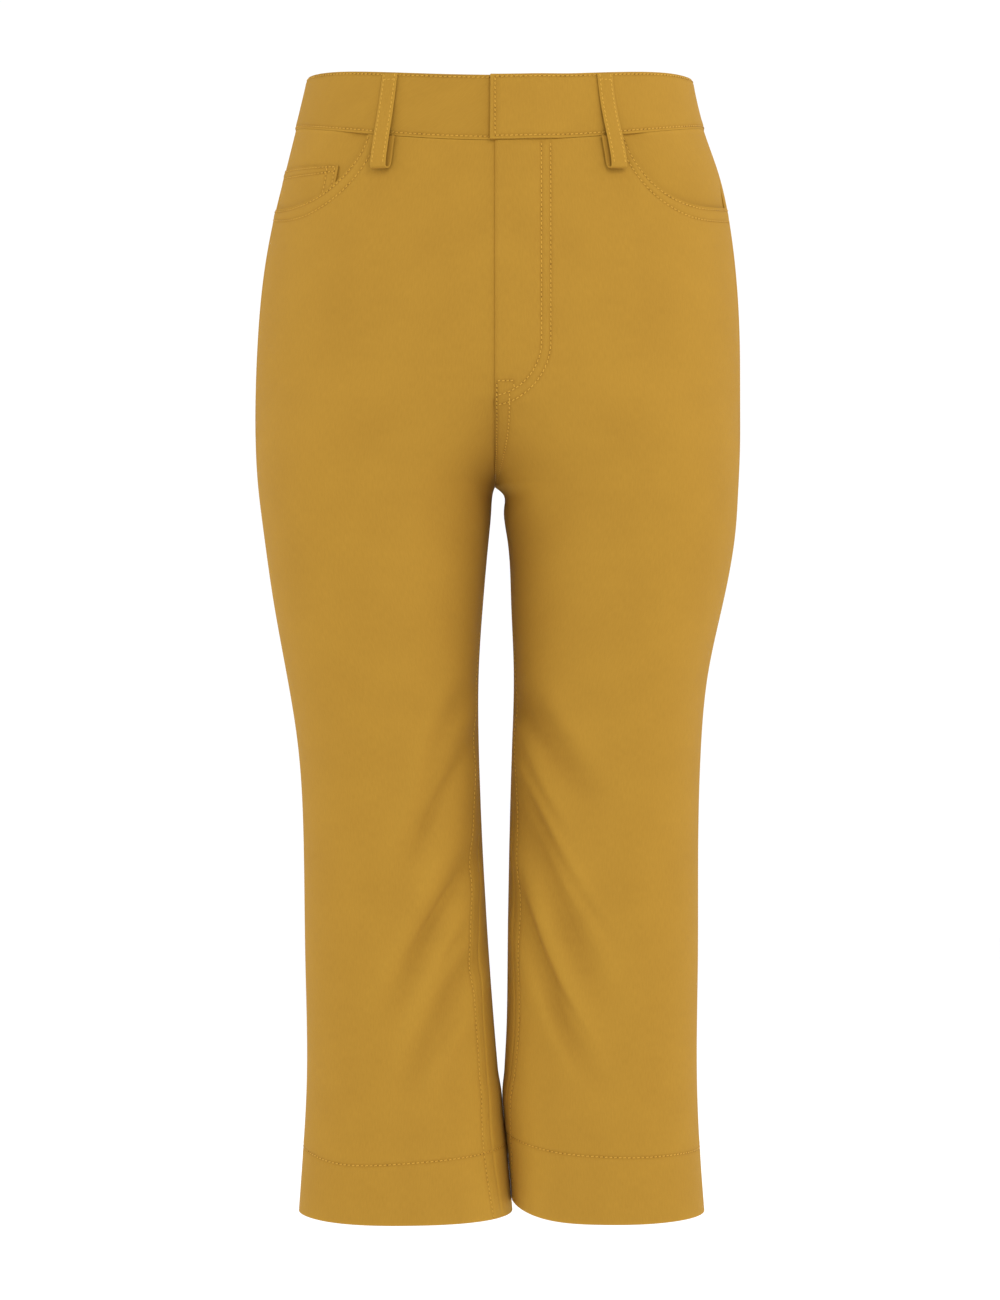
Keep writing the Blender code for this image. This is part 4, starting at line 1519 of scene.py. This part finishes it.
@dataclass
class CoinPocket(PocketPatch):
    """The small patch on the right facing. The front panel's edge covers its lower part."""

    top: float = 0.0745
    top_dip: float = 0.0075
    under: float = 1.08
    top_rows: tuple[float, float] = (0.045, 0.2)
    side_rows: tuple[float, float] = (0.965, 0.88)

    def edges(self, angle: Array, reach: Array) -> tuple[Array, Array, float]:
        """A nearly level top, and a bottom that follows the pocket's edge."""
        pattern = self.pattern
        low = pattern.level(angle, pattern.waist) + pattern.pocket_edge(self.side, reach, self.under)
        return self.top + self.top_dip * np.sin(angle) ** 2, low, self.layer_gap + self.wall

    def stitch_rows(self) -> list[StitchRow]:
        """Two rows under the top edge and two beside the inner one."""
        across, down = np.linspace(0.01, 0.97, 80), np.linspace(0.05, 0.98, 60)
        lines = [(across, np.full_like(across, high)) for high in self.top_rows]
        lines += [(np.full_like(down, aside), down) for aside in self.side_rows]
        return [StitchRow(*self.place(*line)) for line in lines]


@dataclass
class Waistband(Piece):
    """One band all round. Its left end laps over its right end in front."""

    proud: float = 0.0008
    wall: float = 0.0024
    radius: float = 0.15
    lap: float = 0.022
    past_fly: float = 0.0033
    lap_lift: float = 0.0027
    near_edge: tuple[float, ...] = (0, 0.4, 0.9, 1.4, 1.9, 2.5, 3.3, 4.5)
    columns: int = 330
    near_end: tuple[float, ...] = (0, 0.5, 1.0, 1.7, 2.6, 3.4, 4.2)
    middle_rows: int = 16
    lap_fade: tuple[float, float] = (0.026, 0.058)
    end_row: float = 0.0034
    end_row_span: tuple[float, float] = (0.05, 0.94)
    long_rows: tuple[float, float] = (0.0018, 0.0020)
    long_row_stop: float = 0.004
    row_points: tuple[int, int] = (1300, 70)
    edge_roll: float = 0.0006
    edge_width: float = 0.0011
    # Painted highlights along the band's top and bottom edges.
    edge_pale: float = 0.35

    @property
    def rests_on(self) -> tuple[str, ...]:
        """The four panels."""
        return "front_right", "front_left", "back_right", "back_left"

    @property
    def ends(self) -> tuple[float, float]:
        """The angles of the band's left and right ends, each on its own side."""
        return QUARTER + self.past_fly / self.radius, QUARTER + self.lap / self.radius

    @property
    def turn(self) -> float:
        """How far round the band goes, in radians."""
        return self.ends[0] + 2 * QUARTER + self.ends[1]

    @property
    def height(self) -> float:
        """How high the band is at the sides, before its top dips there."""
        return self.pattern.waist[0] - self.pattern.top[0]

    def place(self, at: Array, down: Array) -> tuple[Array, Array]:
        """Points on the band's outer face.

        Args:
            at: How far round from the left end, in radians.
            down: Shares of the band's height.

        Returns:
            The points and the normals there.
        """
        pattern, (left_end, _) = self.pattern, self.ends
        on_left = at <= left_end + QUARTER
        angle = np.where(on_left, left_end - at, at - left_end - 2 * QUARTER)
        tops = [pattern.band_top(side, angle) for side in (Side.LEFT, Side.RIGHT)]
        top, low = np.where(on_left, *tops), pattern.level(angle, pattern.waist)
        drop = top + down * (low - top)
        distance = pattern.skin.bare(Side.LEFT, angle, drop)[..., 0] - pattern.skin.centre_x
        lap = self.lap_lift * (1 - smooth_step(distance, *self.lap_fade)) * (np.sin(angle) > 0)
        edge = np.minimum(down, 1 - down) * (low - top)
        roll = self.proud - self.edge_roll * bell(edge, self.edge_width)
        left, left_normal = pattern.skin.point(Side.LEFT, angle, drop, roll + lap)
        right, right_normal = pattern.skin.point(Side.RIGHT, angle, drop, roll)
        return np.where(on_left[..., None], left, right), np.where(on_left[..., None], left_normal, right_normal)

    def stitch_rows(self) -> list[StitchRow]:
        """A row under the top edge, one above the waist seam, and one beside the lapped end."""
        at = np.linspace(self.end_row / self.radius, self.turn - self.long_row_stop, self.row_points[0])
        top, low = (away / self.height for away in self.long_rows)
        rows = [StitchRow(*self.place(at, np.full_like(at, share))) for share in (top, 1 - low)]
        down = np.linspace(*self.end_row_span, self.row_points[1])
        end = np.full_like(down, self.end_row / self.radius)
        return rows + [StitchRow(*self.place(end, down))]

    def make(self) -> None:
        """Build the band and its sewing."""
        near, ends = np.array(self.near_edge) * MM / self.height, np.array(self.near_end) * MM / self.radius
        down = np.concatenate([near, np.linspace(near[-1], 1 - near[-1], self.middle_rows)[1:-1], 1 - near[::-1]])
        at = np.concatenate([ends, np.linspace(ends[-1], self.turn, self.columns)[1:]])
        at, down = np.meshgrid(at, down)
        edge = np.minimum(down, 1 - down) * self.height
        # The band is lighter along its edges: painted highlights.
        self.sew_up(*self.place(at, down), self.wall, self.edge_pale * bell(edge, self.edge_width))


@dataclass
class BeltLoop(Piece):
    """A folded strap, stitched to the band's top edge and caught again in the waist seam."""

    side: Side
    angle: float
    width: float = 0.0116
    wall: float = 0.0014
    from_top: float = 0.0015
    below_band: float = 0.025
    proud: float = 0.0008
    stand_top: float = 0.0004
    stand_low: float = 0.0030
    fold: float = 0.0013
    crown: float = 0.0003
    aside: float = 0.0
    lean: float = 0.0
    counts: tuple[int, int, int, int] = (10, 44, 12, 20)
    edge_rows: tuple[float, float] = (0.15, 0.85)
    bar_drop: float = 0.0045
    thinner_edge: float = 0.35
    # Painted highlights along the strap's long edges.
    edge_pale: float = 0.5
    # Painted shade on the strip that turns back behind the strap.
    fold_dark: float = 0.7

    def path(self) -> tuple[Array, Array, Array]:
        """The strap's middle line: down over the band, a fold, and up to the seam.

        Returns:
            Its drops, how far it stands off the skin, and how far it has turned back, from 0 to 1.
        """
        pattern = self.pattern
        top = float(pattern.level(self.angle, pattern.top)) + self.from_top
        seam = float(pattern.level(self.angle, pattern.waist))
        low = seam + self.below_band - self.fold
        down, back = np.linspace(0, 1, self.counts[1] + 1), np.linspace(0, 1, self.counts[3] + 1)
        turn = np.linspace(0, math.pi, self.counts[2] + 1)[1:-1]
        stand = self.proud + self.wall / 2 + self.stand_top + self.stand_low * smooth_step(down, 0.15, 0.9)
        last = stand[-1]
        drops = [top + (low - top) * down, low + self.fold * np.sin(turn), low + (seam + self.wall - low) * back]
        stands = [stand, last - self.fold * (1 - np.cos(turn)), np.full(len(back), last - 2 * self.fold)]
        start, end = 0.25 * smooth_step(down, 0.9, 1.1), 1 - 0.25 * smooth_step(-back, -0.2, 0.2)
        turned = [start, 0.125 + 0.75 * turn / math.pi, end]
        return np.concatenate(drops), np.concatenate(stands), np.concatenate(turned)

    def place(
        self, across: Array, drop: Array, stand: Array, turned: Array
    ) -> tuple[Array, Array]:
        """Points of the strap's middle layer and normals there, from shares across and the path."""
        skin, pattern = self.skin, self.pattern
        crown = self.crown * (1 - (2 * across - 1) ** 4) * (1 - 2 * turned)
        high = 1 - (drop - pattern.level(self.angle, pattern.top)) / (pattern.waist[0] + self.below_band)
        away = (across - 0.5) * self.width + self.aside * turned - self.lean * high
        around = self.angle + away / skin.speed(self.side, np.full_like(drop, self.angle), drop)
        return skin.point(self.side, around, drop, stand + crown)

    def stitch_rows(self) -> list[StitchRow]:
        """A row beside each edge and a bar across the top."""
        drops, stands, turned = self.path()
        outer = slice(0, self.counts[1])
        steps = np.linspace(0, self.counts[1] - 1, 90)
        drop, stand = (np.interp(steps, np.arange(self.counts[1]), line[outer]) for line in (drops, stands))
        stand = stand + self.wall / 2
        rows = [StitchRow(*self.place(np.full_like(drop, share), drop, stand, 0 * drop)) for share in self.edge_rows]
        across = np.linspace(0.1, 0.9, 16)
        bar = np.full_like(across, drops[0] + self.bar_drop)
        on_top = np.interp(bar, drops[outer], stands[outer]) + self.wall / 2
        return rows + [StitchRow(*self.place(across, bar, on_top, 0 * bar))]

    def make(self) -> None:
        """Build the strap and its sewing."""
        drops, stands, turned = self.path()
        share = np.linspace(0, 1, self.counts[0] + 1)
        across, drop = np.meshgrid(share, drops)
        stand, back = np.meshgrid(share, stands)[1], np.meshgrid(share, turned)[1]
        points, _ = self.place(across, drop, stand, back)
        along, down = np.gradient(points, axis=1), np.gradient(points, axis=0)
        normal = unit(np.cross(along, down) * self.side.value)
        half = self.wall / 2 * (1 - self.thinner_edge * np.abs(2 * across - 1)[..., None] ** 6)
        flat = np.stack(np.meshgrid(share * self.width, run_along(points[:, 0])), axis=-1)
        # Painted highlights at the strap's edges and painted shade on its turned-back strip.
        rim = self.edge_pale * np.abs(2 * across - 1) ** 8 - self.fold_dark * back
        cloth = self.shop.weaver.shell(
            f"{self.node}_cloth", points + normal * half, points - normal * half, flat, rim, False
        )
        self.shop.keep(cloth, self.node, self.cut, self.rests_on, self.stitch_rows())


class Lamp(NamedTuple):
    """A large square light: its name, its place, its size in metres and its power in watts."""

    name: str
    place: tuple[float, float, float]
    size: float
    power: float


LAMPS = (
    Lamp("right_side", (-2.5, -0.3, 0.7), 1.6, 15),
    Lamp("left_side", (2.5, -0.3, 0.7), 1.6, 15),
    Lamp("key", (1.2, -2.3, 1.9), 1.0, 25),
    Lamp("back", (0.4, 2.8, 1.0), 1.6, 12),
)


@dataclass(frozen=True)
class Studio:
    """A pale floor, soft light from all round, and the camera where the photograph was taken."""

    camera_distance: float = 2.8
    camera_height: float = -0.4066
    frame_height: float = 0.9685
    sensor: float = 24.0
    floor_z: float = -1.15
    floor_size: float = 14.0
    floor_colour: Colour = (0.98, 0.98, 0.98, 1.0)
    surround_colour: Colour = (1.0, 1.0, 1.0, 1.0)
    surround_strength: float = 1.04

    def set_up(self) -> None:
        """Make the camera, the lights, the surroundings and the floor."""
        self.add_camera()
        for lamp in LAMPS:
            self.add_light(lamp)
        self.add_surroundings()
        self.add_floor()

    def add_camera(self) -> None:
        """The camera, level and straight in front."""
        data = bpy.data.cameras.new("camera")
        data.sensor_fit, data.sensor_height = "VERTICAL", self.sensor
        data.lens = self.sensor * self.camera_distance / self.frame_height
        camera = add_object("camera", data)
        camera.location = (0.0, -self.camera_distance, self.camera_height)
        camera.rotation_euler = (QUARTER, 0.0, 0.0)
        bpy.context.scene.camera = camera

    def add_light(self, lamp: Lamp) -> None:
        """A lamp that faces the middle of the garment."""
        data = bpy.data.lights.new(lamp.name, "AREA")
        data.size, data.energy = lamp.size, lamp.power
        light = add_object(lamp.name, data)
        light.location = lamp.place
        aim = Vector((0.0, 0.0, self.camera_height)) - light.location
        light.rotation_euler = aim.to_track_quat("-Z", "Y").to_euler()

    def add_surroundings(self) -> None:
        """Even white light from all round."""
        scene = bpy.context.scene
        scene.world = bpy.data.worlds.new("studio")
        scene.world.use_nodes = True
        background = scene.world.node_tree.nodes["Background"]
        background.inputs["Color"].default_value = self.surround_colour
        background.inputs["Strength"].default_value = self.surround_strength
        scene.view_settings.view_transform = "Standard"

    def add_floor(self) -> None:
        """A plain white floor under the hanging garment."""
        work = bmesh.new()
        bmesh.ops.create_grid(work, x_segments=1, y_segments=1, size=self.floor_size / 2)
        bmesh.ops.translate(work, verts=work.verts[:], vec=(0.0, 0.0, self.floor_z))
        mesh = to_mesh("floor", work)
        paint = bpy.data.materials.new("floor_paint")
        paint.use_nodes = True
        paint.node_tree.nodes["Principled BSDF"].inputs["Base Color"].default_value = self.floor_colour
        mesh.materials.append(paint)
        floor = add_object("floor", mesh)


def main() -> None:
    """Build every piece of the trousers, in the order of their making, and the studio."""
    logging.basicConfig(level=logging.INFO, format="%(name)s: %(message)s")
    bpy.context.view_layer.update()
    Studio().set_up()
    palette = Palette()
    shop = Workshop(Pattern(Skin()), Weaver(palette), Thread(palette))
    for side in Side:
        Back(shop, f"back_{side.word}", Cut(0.320, 0.808, 0.217), side).make()
        PocketPatch(shop, f"pocket_facing_{side.word}", Cut(0.116, 0.070, 0.0061), side, reach=1.06).make()
        fly = {"rise_rows": 120, "fly_density": 1.4} if side is Side.LEFT else {}
        Front(shop, f"front_{side.word}", Cut(0.308, 0.791, 0.175), side, **fly).make()
    CoinPocket(shop, "coin_pocket", Cut(0.081, 0.034, 0.0024), Side.RIGHT, reach=0.81).make()
    Waistband(shop, "waistband", Cut(0.868, 0.048, 0.0389)).make()
    strap = Cut(0.0116, 0.096, 0.0011)
    for side in Side:
        front = {"angle": math.radians(59.7), "aside": 0.0034, "lean": 0.0012}
        BeltLoop(shop, f"belt_loop_front_{side.word}", strap, side, **front).make()
        BeltLoop(shop, f"belt_loop_back_{side.word}", strap, side, angle=math.radians(-52)).make()
    BeltLoop(shop, "belt_loop_back_centre", strap, Side.LEFT, angle=-QUARTER).make()


if __name__ == "__main__":
    main()
